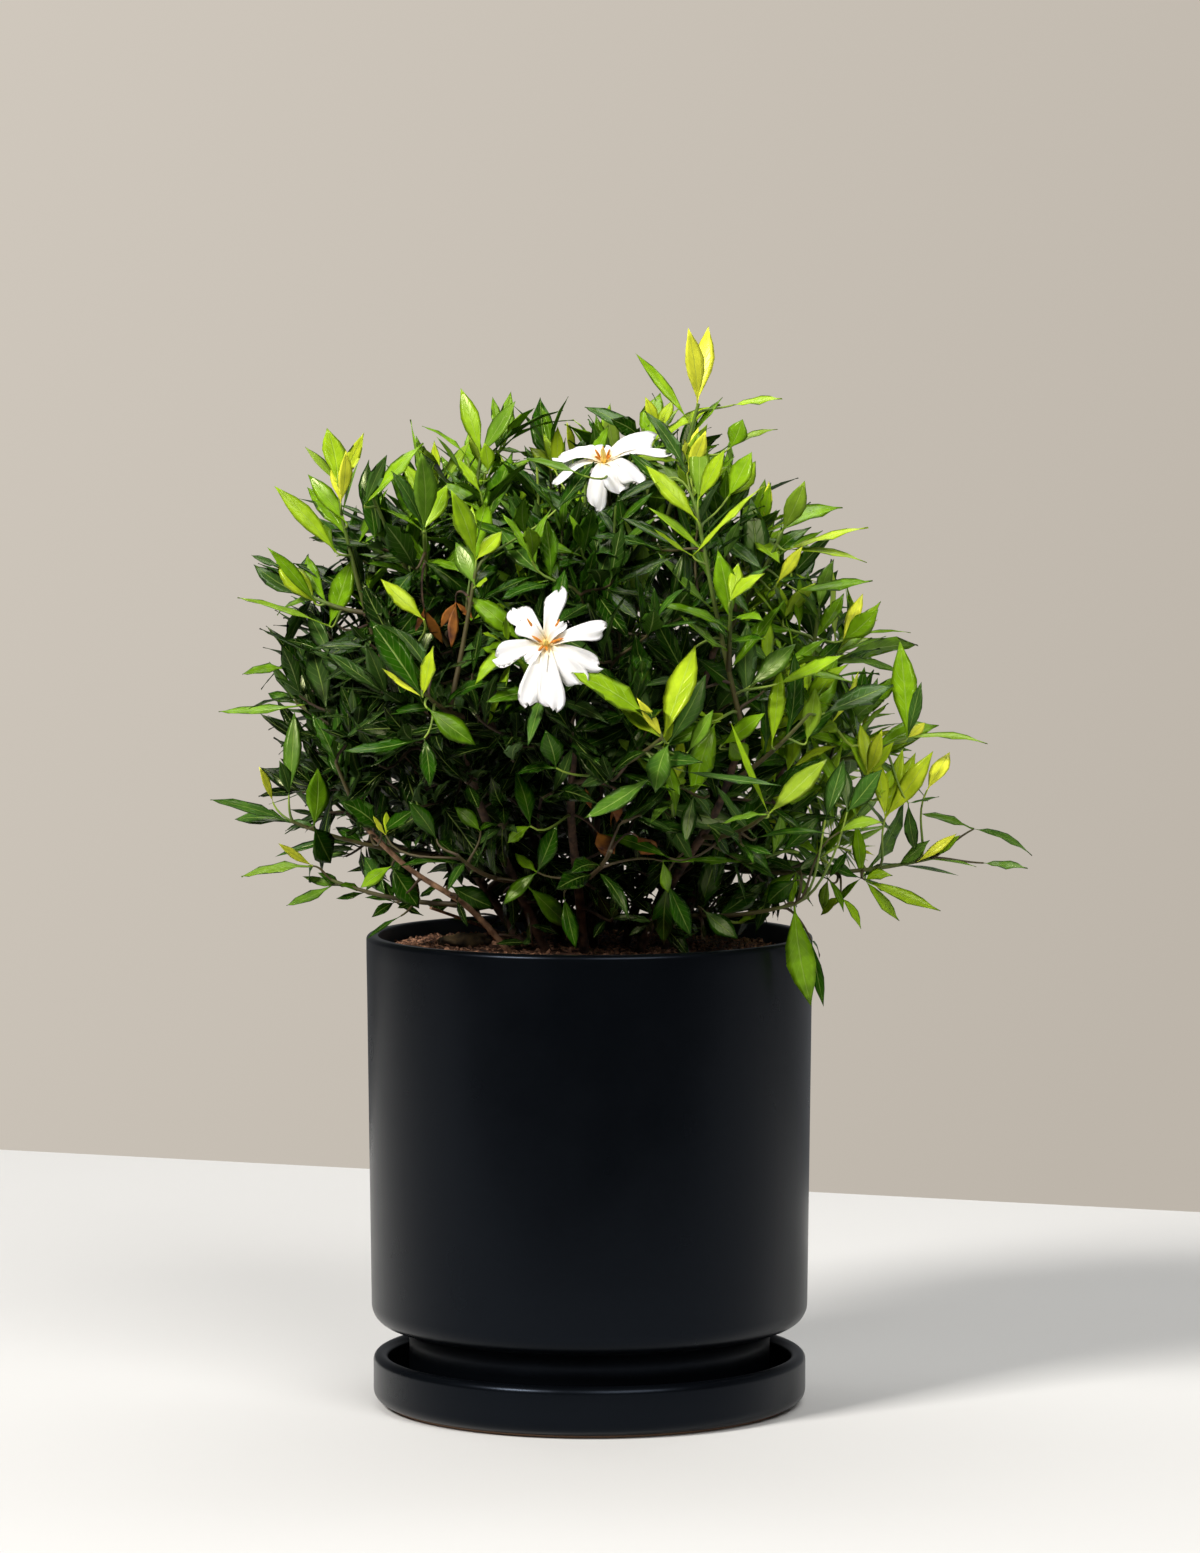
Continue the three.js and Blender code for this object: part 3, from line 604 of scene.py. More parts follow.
def turned(name, profile, materials, is_second):
    """A closed shape turned from (radius, height) points; the spans that is_second picks get material 1."""
    points, rings = [], []
    for radius, height in profile:
        count = 1 if radius == 0 else ROUND_SIDES
        rings.append([len(points) + k % count for k in range(ROUND_SIDES)])
        points += [(x, y, height) for x, y in circle(radius, count)]
    faces, slots = [], []
    hollow = profile[0][0] > 0
    for i in range(len(rings) - (0 if hollow else 1)):
        j = (i + 1) % len(rings)
        second = is_second(profile[i], profile[j])
        for k in range(ROUND_SIDES):
            n = (k + 1) % ROUND_SIDES
            corners = (rings[i][k], rings[i][n], rings[j][n], rings[j][k])
            faces.append(tuple(dict.fromkeys(corners)))
            slots.append(1 if second else 0)
    piece = mesh_object(name, points, faces, materials)
    piece.data.polygons.foreach_set("material_index", slots)
    return piece


def make_saucer():
    radius, base, top = node_size("saucer")
    wall = 8.5
    lip = wall / 2
    corner = 7
    foot = radius - corner - 0.5
    floor = base + 8
    profile = [
        (0, base), (foot - 4, base), (foot - 1, base + 0.1), (foot, base + 0.5), (foot + 0.9, base + 1.6),
        *arc((radius - corner, base + 9), corner, -60, 0, 8),
        *arc((radius - lip, top - lip), lip, 0, 180, 16),
        (radius - wall - 0.4, top - 11), (radius - wall - 0.9, floor + 4.5),
        *arc((radius - wall - 5, floor + 4), 4, 0, -90, 6)[1:], (60, floor), (0, floor)]

    def is_unglazed_foot(a, b):
        return max(a[1], b[1]) < base + 1.7

    place(turned("saucer_glazed", profile, [GLAZE, CLAY], is_unglazed_foot), "glaze", "saucer")


def make_pot():
    radius, base, top = node_size("pot")
    wall = 7
    outer_lip = 2.6
    inner_lip = 1.4
    foot = POT_FOOT
    under = 46
    corner = 12
    lower = radius - 2.5
    inner = radius - wall
    drain = 9
    # Above this height the inner wall takes the painted sheen.
    painted_sheen_from = 180
    profile = [
        (drain, base), (60, base), (foot - 1, base), (foot - 0.2, base + 0.3), (foot, base + 1),
        (foot, under - 10), (foot + 0.6, under - 5), (foot + 3, under - 1.4), (foot + 6, under),
        *arc((lower - corner, under + corner), corner, -90, 0, 14),
        (lower + 0.4, 90), (lower + 1.0, 140), (lower + 1.6, 190), (lower + 2.1, 235),
        (radius - 0.05, top - 12),
        *arc((radius - outer_lip, top - outer_lip), outer_lip, 0, 90, 12),
        *arc((inner + inner_lip, top - inner_lip), inner_lip, 90, 180, 6)[1:],
        (inner, top - 14), (inner, painted_sheen_from), (inner, 60), (foot + 2, 52), (foot - wall, 46),
        (foot - wall, base + 12), (drain, base + 12)]

    def is_inner_wall(a, b):
        return max(a[0], b[0]) < inner + 0.5 and min(a[1], b[1]) >= painted_sheen_from

    place(turned("pot_glazed", profile, [GLAZE, INNER_GLAZE_PAINTED_SHEEN], is_inner_wall), "glaze", "pot")


make_saucer()
make_pot()

# --- Soil ---

SOIL_MIDDLE = 261
SOIL_EDGE = 258
MOUND_HEIGHT = 6
MOUND_WIDTH = 34
MOUND_PLACE = (-72, 12)


def soil_height(x, y):
    """The potting mix, heaped at the left, with lumps about 20 mm and 6 mm wide."""
    share = min(math.hypot(x, y) / 120, 1)
    away = math.hypot(x - MOUND_PLACE[0], y - MOUND_PLACE[1]) / MOUND_WIDTH
    dome = SOIL_EDGE + (SOIL_MIDDLE - SOIL_EDGE) * (1 - share ** 2)
    heap = MOUND_HEIGHT * math.exp(-0.5 * away ** 2)
    lumps = 1.6 * noise.noise(Vector((x, y, 3)) / 20) + 0.8 * noise.noise(Vector((x, y, 9)) / 6)
    return dome + heap + lumps


def make_soil():
    """The heap's surface, down the pot's wall, in over the shelf and down the foot to the pot's floor."""
    radius, base, _ = node_size("soil")
    rings, sides = 40, 120
    well = POT_FOOT - 7.6
    below = [(radius, 61), (well, 45), (well, base)]
    points = [(0, 0, soil_height(0, 0))]
    for i in range(1, rings + 1):
        points += [(x, y, soil_height(x, y)) for x, y in circle(radius * i / rings, sides)]
    for reach, height in below:
        points += [(x, y, height) for x, y in circle(reach, sides)]
    points.append((0, 0, base))
    faces = [(0, 1 + k, 1 + (k + 1) % sides) for k in range(sides)]
    for i in range(rings + len(below) - 1):
        a, b = 1 + i * sides, 1 + (i + 1) * sides
        faces += [(a + k, b + k, b + (k + 1) % sides, a + (k + 1) % sides) for k in range(sides)]
    last = 1 + (rings + len(below) - 1) * sides
    faces += [(last + k, len(points) - 1, last + (k + 1) % sides) for k in range(sides)]
    piece = mesh_object("potting_mix", points, faces, [SOIL])
    place(piece, "soil", "soil")
    return piece


SOIL_PIECE = make_soil()


def lump_mesh(name, fineness, radius, roughness, grain, seed, stretch):
    """A ball roughened into a lump and then stretched along its axes."""
    work = bmesh.new()
    bmesh.ops.create_icosphere(work, subdivisions=fineness, radius=radius)
    for vertex in work.verts:
        vertex.co *= 1 + roughness * noise.noise(vertex.co * grain + Vector((seed, 0, 0)))
        vertex.co = Vector(c * s for c, s in zip(vertex.co, stretch))
    mesh = bpy.data.meshes.new(name)
    work.to_mesh(mesh)
    work.free()
    return mesh


# A chip of bark lies half sunk in the potting mix, at the left: its place, half sizes and height above it.
CHIP_PLACE = (-70, -14)
CHIP_SIZE = (15, 8, 5)
CHIP_UP = 1.5


def make_chip():
    mesh = lump_mesh("bark_chip", 4, 1, 0.25, 1.8, 0, CHIP_SIZE)
    middle = Vector((*CHIP_PLACE, soil_height(*CHIP_PLACE) + CHIP_UP))
    mesh.transform(Matrix.Scale(MM, 4) @ Matrix.Translation(middle))
    mesh.materials.append(CHIP_BARK)
    mesh.shade_smooth()
    place(in_scene("bark_chip", mesh), "soil")


make_chip()

# Crumbs are one unit across before they are scattered; each has its seed and its stretch.
CRUMB_SHAPES = {
    "crumb_round": (1, (1, 1, 1)),
    "crumb_flat": (5, (1.3, 0.9, 0.5)),
    "crumb_fibre": (9, (2.6, 0.45, 0.4)),
}
CRUMBS_PER_SQUARE_METRE = 60000.0
SMALLEST_CRUMB = 1
LARGEST_CRUMB = 4
CRUMB_SEED = 4
CRUMBS = bpy.data.collections.new("crumb_shapes")
for crumb_name, (crumb_seed, crumb_stretch) in CRUMB_SHAPES.items():
    crumb_mesh = lump_mesh(crumb_name, 1, 0.5, 0.5, 3, crumb_seed, crumb_stretch)
    CRUMBS.objects.link(bpy.data.objects.new(crumb_name, crumb_mesh))


def scatter_tree():
    """Strews shapes over a surface's upward faces."""
    tree = bpy.data.node_groups.new("scatter_crumbs", "GeometryNodeTree")
    tree.is_modifier = True
    socket(tree, "Ground", "NodeSocketGeometry")
    ids = {
        "shapes": socket(tree, "Crumb Shapes", "NodeSocketCollection"),
        "density": socket(tree, "Crumbs per Square Metre", "NodeSocketFloat"),
        "small": socket(tree, "Smallest Size", "NodeSocketFloat"),
        "large": socket(tree, "Largest Size", "NodeSocketFloat"),
        "seed": socket(tree, "Seed", "NodeSocketInt"),
        "finish": socket(tree, "Crumb Finish", "NodeSocketMaterial"),
    }
    socket(tree, "Crumbs", "NodeSocketGeometry", "OUTPUT")
    given = add(tree, "NodeGroupInput").node.outputs
    normal = add(tree, "GeometryNodeInputNormal")
    height = add(tree, "ShaderNodeSeparateXYZ", {0: normal}, output="Z")
    upward = add(tree, "FunctionNodeCompare", {0: height, 1: 0.5}, operation="GREATER_THAN")
    spots = add(tree, "GeometryNodeDistributePointsOnFaces", {
        "Mesh": given["Ground"], "Selection": upward, "Density": given["Crumbs per Square Metre"],
        "Seed": given["Seed"]})
    shapes = add(tree, "GeometryNodeCollectionInfo", {
        "Collection": given["Crumb Shapes"], "Separate Children": True, "Reset Children": True})
    spin = add(tree, "FunctionNodeRandomValue", {
        0: (-0.5, -0.5, 0.0), 1: (0.5, 0.5, 6.28), "Seed": given["Seed"]}, data_type="FLOAT_VECTOR")
    size = add(tree, "FunctionNodeRandomValue", {
        2: given["Smallest Size"], 3: given["Largest Size"], "Seed": given["Seed"]},
        output=1, data_type="FLOAT")
    crumbs = add(tree, "GeometryNodeInstanceOnPoints", {
        "Points": spots, "Instance": shapes, "Pick Instance": True, "Rotation": spin, "Scale": size})
    grown = add(tree, "GeometryNodeRealizeInstances", {0: crumbs})
    done = add(tree, "GeometryNodeSetMaterial", {"Geometry": grown, "Material": given["Crumb Finish"]})
    add(tree, "NodeGroupOutput", {0: done})
    return tree, ids


def make_crumbs():
    tree, ids = scatter_tree()
    ground = in_scene("crumb_ground", SOIL_PIECE.data.copy())
    modifier = ground.modifiers.new("scatter", "NODES")
    modifier.node_group = tree
    values = {"shapes": CRUMBS, "finish": CRUMB, "density": CRUMBS_PER_SQUARE_METRE,
              "small": SMALLEST_CRUMB * MM, "large": LARGEST_CRUMB * MM, "seed": CRUMB_SEED}
    for key, value in values.items():
        modifier[ids[key]] = value
    place(solid_from(ground, "soil_crumbs"), "soil")


make_crumbs()

# --- Leaf shapes ---

LEAF_THICKNESS = 0.006
LEAF_STATIONS = (0.0, 0.08, 0.22, 0.4, 0.58, 0.75, 0.89, 1.0)
ACROSS = (-1.0, -0.55, 0.0, 0.55, 1.0)
LEAF_WIDTH = 0.30
# Each shape: width, fold along the midrib, arch, waviness of the edge and sideways curve, for a length of 1
LEAF_SHAPES = {
    "leaf_a_flat": (0.30, 0.16, 0.10, 0.00, 0.02),
    "leaf_b_arched": (0.29, 0.28, 0.28, 0.05, -0.03),
    "leaf_c_broad": (0.34, 0.20, 0.14, 0.08, 0.03),
    "leaf_d_folded": (0.27, 0.50, 0.08, 0.04, 0.05),
    "leaf_e_drooping": (0.29, 0.22, 0.42, 0.06, -0.04),
    "leaf_f_upturned": (0.31, 0.30, -0.14, 0.05, -0.02),
}


def blade_half(t):
    """Half the width at a fraction of the length: a short stalk, a full middle and a pointed tip."""
    if t >= 1:
        return 0.0
    blade = max(0.0, (t - 0.03) / 0.97)
    return max(0.035, 0.5 * math.sin(math.pi * blade ** 1.06) ** 1.25 if blade > 0 else 0.0)


def make_leaf_shape(name, width, fold, arch, wave, curve, shapes):
    """A closed thin leaf one unit long, from the origin along +Y with its upper side up."""
    points, uvs = [], []
    for side in (1, -1):
        for t in LEAF_STATIONS:
            half = width * blade_half(t)
            spine = -arch * t * t
            bend = curve * math.sin(math.pi * t)
            for u in ACROSS:
                ruffle = wave * width * abs(u) ** 2 * math.sin(15 * t + 2.2 * u)
                thick = side * LEAF_THICKNESS * 0.5 * (1 - abs(u) ** 2) * (1 if t < 1 else 0)
                lift = fold * abs(u) * half * (1 - 0.4 * abs(u))
                points.append((bend + u * half, t * (1 - 0.25 * arch * arch), spine + lift + ruffle + thick))
                uvs.append((0.5 + 0.5 * u, t))
    row = len(ACROSS)
    faces = two_sheets(0, len(LEAF_STATIONS), row, (0, 1, 1 + row, row))
    under = [number >= len(faces) // 2 for number in range(len(faces))]
    mesh = bpy.data.meshes.new(name)
    mesh.from_pydata(points, [], faces)
    write_uvs(mesh, uvs)
    mesh.attributes.new("under", "BOOLEAN", "FACE").data.foreach_set("value", under)
    mesh.shade_smooth()
    join_sheets(mesh, 1e-5)
    shapes.objects.link(bpy.data.objects.new(name, mesh))


LEAVES = bpy.data.collections.new("leaf_shapes")
for shape_name, shape in LEAF_SHAPES.items():
    make_leaf_shape(shape_name, *shape, LEAVES)

# --- A shoot grows on a skeleton of twig lines and leaf points ---


def shoot_tree():
    """Skins the skeleton's edges as round twigs and sets a leaf on each of its leaf points."""
    tree = bpy.data.node_groups.new("grow_shoot", "GeometryNodeTree")
    tree.is_modifier = True
    socket(tree, "Skeleton", "NodeSocketGeometry")
    ids = {
        "shapes": socket(tree, "Leaf Shapes", "NodeSocketCollection"),
        "sides": socket(tree, "Twig Sides", "NodeSocketInt"),
        "size": socket(tree, "Leaf Size", "NodeSocketFloat"),
        "sway": socket(tree, "Leaf Sway", "NodeSocketFloat"),
        "seed": socket(tree, "Seed", "NodeSocketInt"),
        "bark": socket(tree, "Twig Finish", "NodeSocketMaterial"),
        "top": socket(tree, "Leaf Top Finish", "NodeSocketMaterial"),
        "under": socket(tree, "Leaf Underside Finish", "NodeSocketMaterial"),
    }
    socket(tree, "Shoot", "NodeSocketGeometry", "OUTPUT")
    given = add(tree, "NodeGroupInput").node.outputs
    named = "GeometryNodeInputNamedAttribute"
    radius = add(tree, named, {"Name": "radius"}, data_type="FLOAT")
    on_twig = add(tree, "FunctionNodeCompare", {0: radius, 1: 0.0}, operation="GREATER_THAN")
    twig_part = add(tree, "GeometryNodeSeparateGeometry", {
        "Geometry": given["Skeleton"], "Selection": on_twig}, domain="POINT")
    lines = add(tree, "GeometryNodeMeshToCurve", {"Mesh": twig_part})
    sized = add(tree, "GeometryNodeSetCurveRadius", {"Curve": lines, "Radius": radius})
    ring = add(tree, "GeometryNodeCurvePrimitiveCircle", {"Resolution": given["Twig Sides"], "Radius": 1.0})
    twigs = add(tree, "GeometryNodeCurveToMesh", {
        "Curve": sized, "Profile Curve": ring, "Scale": radius, "Fill Caps": True})
    bark = add(tree, "GeometryNodeSetMaterial", {"Geometry": twigs, "Material": given["Twig Finish"]})
    spots = add(tree, "GeometryNodeMeshToPoints", {"Mesh": twig_part.node.outputs["Inverted"]})
    shapes = add(tree, "GeometryNodeCollectionInfo", {
        "Collection": given["Leaf Shapes"], "Separate Children": True, "Reset Children": True})
    low, high = (
        add(tree, "ShaderNodeVectorMath", {0: corner, "Scale": given["Leaf Sway"]}, operation="SCALE")
        for corner in ((-1.0, -1.0, -1.0), (1.0, 1.0, 1.0)))
    tilt = add(tree, "FunctionNodeRandomValue", {0: low, 1: high, "Seed": given["Seed"]},
               data_type="FLOAT_VECTOR")
    angles = add(tree, named, {"Name": "facing"}, data_type="FLOAT_VECTOR")
    turn = add(tree, "FunctionNodeEulerToRotation", {0: angles})
    extra = add(tree, "FunctionNodeEulerToRotation", {0: tilt})
    facing = add(tree, "FunctionNodeRotateRotation", {0: turn, 1: extra}, rotation_space="LOCAL")
    own_size = add(tree, named, {"Name": "size"}, data_type="FLOAT_VECTOR")
    size = add(tree, "ShaderNodeVectorMath", {0: own_size, "Scale": given["Leaf Size"]}, operation="SCALE")
    shape_number = add(tree, named, {"Name": "shape"}, data_type="INT")
    leaves = add(tree, "GeometryNodeInstanceOnPoints", {
        "Points": spots, "Instance": shapes, "Pick Instance": True, "Instance Index": shape_number,
        "Rotation": facing, "Scale": size})
    grown = add(tree, "GeometryNodeRealizeInstances", {0: leaves})
    top = add(tree, "GeometryNodeSetMaterial", {"Geometry": grown, "Material": given["Leaf Top Finish"]})
    below = add(tree, named, {"Name": "under"}, data_type="BOOLEAN")
    both = add(tree, "GeometryNodeSetMaterial", {
        "Geometry": top, "Selection": below, "Material": given["Leaf Underside Finish"]})
    joined = add(tree, "GeometryNodeJoinGeometry", {0: bark})
    tree.links.new(both, joined.node.inputs[0])
    add(tree, "NodeGroupOutput", {0: joined})
    return tree, ids


SHOOT_TREE, SHOOT_INPUTS = shoot_tree()
TWIG_SIDES = 7
LEAF_SCALE = 1.0


def facing_angles(along, up):
    """The turn that takes a leaf shape's +Y to along and its +Z as near as it can to up."""
    side = unit(np.cross(along, up))
    normal = np.cross(side, along)
    return Matrix([list(side), list(along), list(normal)]).transposed().to_euler()


class Skeleton:
    """Collects the twig lines and the leaf points of one shoot."""

    KINDS = {"radius": "FLOAT", "youth": "FLOAT", "tone": "FLOAT", "shape": "INT",
             "facing": "FLOAT_VECTOR", "size": "FLOAT_VECTOR"}

    def __init__(self):
        self.points, self.edges = [], []
        self.columns = {key: [] for key in self.KINDS}

    def put(self, point, radius=0.0, youth=0.0, tone=0.5, shape=0, facing=(0, 0, 0), size=(0, 0, 0)):
        self.points.append(tuple(float(c) * MM for c in point))
        row = (radius * MM, youth, tone, shape, tuple(facing), tuple(s * MM for s in size))
        for column, value in zip(self.columns.values(), row):
            column.append(value)

    def line(self, path, steps, radius_at, youth=0.0):
        """A line whose radius is given for each fraction of its length."""
        first = len(self.points)
        for i in range(steps + 1):
            share = i / steps
            self.put(path.at(share), radius=radius_at(share), youth=youth * (0.3 + 0.7 * share))
        self.edges += [(k, k + 1) for k in range(first, first + steps)]

    def twig(self, path, start_radius, end_radius, youth, steps=10):
        self.line(path, steps, lambda share: start_radius + (end_radius - start_radius) * share, youth)

    def spindle(self, path, radius, steps=8):
        """A line that is thick in its middle and thin at both ends."""
        self.line(path, steps, lambda share: radius * (0.25 + 0.75 * math.sin(math.pi * share) ** 0.6))

    def leaf(self, base, along, up, length, width, youth, tone, shape):
        """A leaf of a length and width in millimetres from its base."""
        across = width / LEAF_WIDTH
        self.put(base, youth=youth, tone=tone, shape=shape, facing=facing_angles(unit(along), unit(up)),
                 size=(across, length, (across + length) / 2))

    def grow(self, name, bark, seed=1, sway=0.0, top=LEAF_TOP, under=LEAF_UNDER):
        """The shoot that the modifier grows on the lines and points."""
        mesh = bpy.data.meshes.new(name)
        mesh.from_pydata(self.points, self.edges, [])
        for key, kind in self.KINDS.items():
            data = mesh.attributes.new(key, kind, "POINT").data
            values = np.array(self.columns[key], int if kind == "INT" else float).ravel()
            data.foreach_set("vector" if kind == "FLOAT_VECTOR" else "value", values)
        obj = in_scene(name + "_skeleton", mesh)
        modifier = obj.modifiers.new("grow", "NODES")
        modifier.node_group = SHOOT_TREE
        values = {"shapes": LEAVES, "sides": TWIG_SIDES, "size": LEAF_SCALE, "sway": sway, "seed": seed,
                  "bark": bark, "top": top, "under": under}
        for key, value in values.items():
            modifier[SHOOT_INPUTS[key]] = value
        return solid_from(obj, name)


# --- Which places a leaf may take ---

LEAF_LENGTH = 44
# A leaf's tip may stand out of the crown by this much.
LEAF_SPARE = 20
SKY = np.array([0.0, 0.0, 1.0])
TO_CAMERA = np.array([0.0, -1.0, 0.0])
TO_LIGHT = np.array([0.1, -0.5, 0.85])
FRONT_HALF = 20
# Leaves keep out of the pot's wall up to its rim, and off the potting mix inside it.
POT_RIM_RADIUS = 130
POT_RIM_HEIGHT = 273
POT_HOLLOW = 116
LEAF_FLOOR = 266
# Nothing grows this near a flower's axis, from a little behind the flower to well in front of it.
FLOWER_CLEARANCE = 37
FLOWER_BEHIND = 5
FLOWER_AHEAD = 90
# Leaves may stand out of the CAD model's box by this much.
SPARE = 8
BOX_LOW = np.array(cad_box[0]) / MM - SPARE
BOX_HIGH = np.array(cad_box[1]) / MM + SPARE


def flower_frame(centre, facing):
    axis = unit(np.array(facing, float))
    side = unit(np.cross(axis, (0, 0.3, 1)))
    return np.array(centre, float), axis, side, np.cross(side, axis)


FLOWER_FRAMES = {name: flower_frame(centre, facing) for name, (_, _, centre, facing) in FLOWERS.items()}


def pixel_of(point):
    """Where the photograph shows a point, in pixels."""
    ahead = point[1] - CAMERA_PLACE[1]
    fall = math.atan((CAMERA_PLACE[2] - point[2]) / ahead) - math.radians(CAMERA_PITCH)
    return np.array([PHOTO_SIZE[0] / 2 + (point[0] - CAMERA_PLACE[0]) / ahead * FOCAL_PIXELS,
                     PHOTO_SIZE[1] / 2 + math.tan(fall) * FOCAL_PIXELS])


def hides_feature(points):
    """Whether any of the points lies in front of a leaf or branch that was placed by the photograph."""
    starts, ends, widths, depths = FEATURES
    for point in points:
        seen = pixel_of(point)
        along = ends - starts
        share = np.clip(((seen - starts) * along).sum(1) / (along ** 2).sum(1), 0, 1)
        gap = np.linalg.norm(seen - starts - along * share[:, None], axis=1)
        if np.any((gap < widths) & (point[1] < depths)):
            return True
    return False


def has_room(base, along, length):
    """Whether a leaf stays in the box, out of the pot's wall and out of the view of the flowers."""
    points = [base + along * length * share for share in (0.3, 0.65, 1.0)]
    for point in points:
        if np.any(point < BOX_LOW) or np.any(point > BOX_HIGH):
            return False
        out = math.hypot(point[0], point[1])
        if out < POT_RIM_RADIUS and point[2] < (LEAF_FLOOR if out < POT_HOLLOW else POT_RIM_HEIGHT):
            return False
        for centre, axis, _, _ in FLOWER_FRAMES.values():
            height = (point - centre) @ axis
            off = np.linalg.norm(point - centre - axis * height)
            if off < FLOWER_CLEARANCE and -FLOWER_BEHIND < height < FLOWER_AHEAD:
                return False
    return not hides_feature(points)


# --- Twigs and leaves that follow the growth of the plant ---

CROWN_CENTRE = np.array([-5.0, -5.0, 385.0])
SHOOT_TIPS = np.array([tip for _, _, tips, _ in SHOOTS.values() for tip in tips], float)


def crown_reach(direction):
    """How far the crown reaches in a direction, from the tips of its shoots."""
    arms = SHOOT_TIPS - CROWN_CENTRE
    lengths = np.linalg.norm(arms, axis=1)
    weights = np.exp(16 * (arms @ direction / lengths - 1))
    return float((weights * lengths).sum() / weights.sum())


def axes_at(path, share):
    tangent = path.tangent(share)
    side = unit(np.cross(tangent, (0.1, 0.2, 1)))
    return tangent, side, np.cross(side, tangent)


def ray(a, b, angle):
    return a * math.cos(angle) + b * math.sin(angle)


# In degrees: a leaf's angle from its twig at the first pair, how far the pairs close, and how far one strays.
LEAF_SPREAD = 64
LEAF_CLOSING = 38
LEAF_STRAY = 18
# How much a leaf lifts to the sky, and how much its upper side turns to the light in front.
LEAF_LIFT = 0.12
FRONT_TURN = 0.25


def leaf_up(base, tangent, draw):
    """A leaf turns its upper side to the sky, a little out of the crown, and in front to the light there."""
    stray = np.array([draw() - 0.5, draw() - 0.5, draw() - 0.5])
    to_front = TO_CAMERA * (FRONT_TURN if base[1] < FRONT_HALF else 0.0)
    return SKY + unit(base - CROWN_CENTRE) * 0.45 + tangent * 0.4 + to_front + stray * 0.9


def leafy(skeleton, path, seed, youth, nodes, first, scale=1.0):
    """Opposite pairs of leaves, each a quarter turn from the last, that close towards the twig's tip."""
    draw = random_source(seed)
    spin = 2 * math.pi * draw()
    for node in range(nodes):
        progress = node / max(nodes - 1, 1)
        share = first + (0.99 - first) * progress
        tangent, side, upright = axes_at(path, share)
        base = path.at(share)
        for twin in range(2):
            around = spin + math.pi * (node / 2 + twin) + 0.6 * (draw() - 0.5)
            spread = math.radians(LEAF_SPREAD - LEAF_CLOSING * progress + LEAF_STRAY * (draw() - 0.5))
            along = unit(ray(tangent, ray(side, upright, around), spread) + SKY * LEAF_LIFT)
            length = LEAF_LENGTH * scale * (0.6 + 0.6 * draw()) * (1 - 0.3 * progress ** 3)
            width = length * LEAF_WIDTH * (0.74 + 0.42 * draw())
            age = youth * (0.55 + 0.45 * progress ** 2) * (0.7 + 0.6 * draw())
            tone = draw()
            shape = int(draw() * 5.999)
            up = leaf_up(base, tangent, draw)
            if has_room(base, along, length) and in_crown(base + along * length, LEAF_SPARE):
                skeleton.leaf(base, along, up, length, width, age, tone, shape)


class Carriers:
    """Every place on the stems and twigs that a new twig may start from."""

    SPACING = 8

    def __init__(self):
        self.places, self.tangents = [], []

    def add(self, path, first):
        """Notes the places along a line, from a fraction of its length on."""
        count = max(2, int(path.length / self.SPACING))
        for i in range(count):
            share = first + (1.0 - first) * i / (count - 1)
            self.places.append(path.at(share))
            self.tangents.append(path.tangent(share))

    def nearest(self, target, growth, shortest=12):
        """The place from which a twig reaches the target most naturally."""
        arms = target - np.array(self.places)
        lengths = np.linalg.norm(arms, axis=1)
        straight = (arms * growth).sum(1) / lengths
        along = (arms * np.array(self.tangents)).sum(1) / lengths
        cost = lengths * (1.6 - 0.45 * straight - 0.25 * along) + np.where(lengths < shortest, 500, 0)
        best = int(np.argmin(cost))
        return self.places[best], self.tangents[best]


BRANCH_STEPS = 16


def branch_path(start, leaving, target, growth):
    """A twig that leaves its carrier a little along it and arrives in its own direction of growth."""
    length = np.linalg.norm(target - start)
    a, b = start + leaving * length * 0.22, target - growth * length * 0.4
    t = np.linspace(0, 1, BRANCH_STEPS + 1)[:, None]
    rest = 1 - t
    return Path(rest ** 3 * start + 3 * t * rest ** 2 * a + 3 * t ** 2 * rest * b + t ** 3 * target)


# Shell: (fraction of the crown's reach, number of directions all round, leaf nodes on a twig)
SHELLS = [(0.42, 46, 3), (0.62, 96, 4), (0.78, 170, 4), (0.92, 265, 5)]
# The right side is this much thinner, and the front bares its stems below a height.
RIGHT_THINNED = 0.25
LOWEST_TWIG = 292
BARE_BELOW = 338
# The crown's outline: its radius at the bottom, and how fast it widens at the left and at the right.
FUNNEL_RADIUS = 55
FUNNEL_FOOT = 262
FUNNEL_FLARE = 1.9
HANGING_FLARE = 3.4
HANGING_FROM = 30
LOW_LEAF_SIZE = 0.62
CROWN_SEED = 7
FIRST_SHELL_SEED = 4000
SHELL_SEED_STEP = 500
GOLDEN_ANGLE = math.pi * (3 - math.sqrt(5))


def in_crown(point, spare=0.0):
    """The crown narrows to the pot like a funnel, and hangs lower at its right."""
    flare = FUNNEL_FLARE if point[0] < HANGING_FROM else HANGING_FLARE
    return math.hypot(point[0], point[1]) < FUNNEL_RADIUS + spare + (point[2] - FUNNEL_FOOT) * flare


def shell_targets(share, count, draw):
    """Points spread evenly over one shell of the crown, each with its direction of growth."""
    for k in range(count):
        z = 1 - 2 * (k + 0.5) / count
        flat = math.sqrt(1 - z * z)
        angle = k * GOLDEN_ANGLE
        direction = np.array([flat * math.cos(angle), flat * math.sin(angle), z])
        reach = crown_reach(direction) * share * (0.87 + 0.22 * draw())
        target = CROWN_CENTRE + direction * reach
        bare = target[2] < BARE_BELOW and target[1] < 20 and target[0] < 60 and draw() > 0.3
        thinned = direction[0] > 0.2 and draw() < RIGHT_THINNED
        if target[2] > LOWEST_TWIG and in_crown(target) and not bare and not thinned:
            yield target, unit(direction + SKY * (0.85 if z > -0.2 else 0.15)), direction


SKIRT_TWIGS = 125
SKIRT_SHARE = 0.3
SKIRT_NODES = 3
SKIRT_MIDDLE = np.array([20.0, 8.0, 268.0])
SKIRT_HOLLOW = 15
SKIRT_REACH = 80
SKIRT_HEIGHT = 62


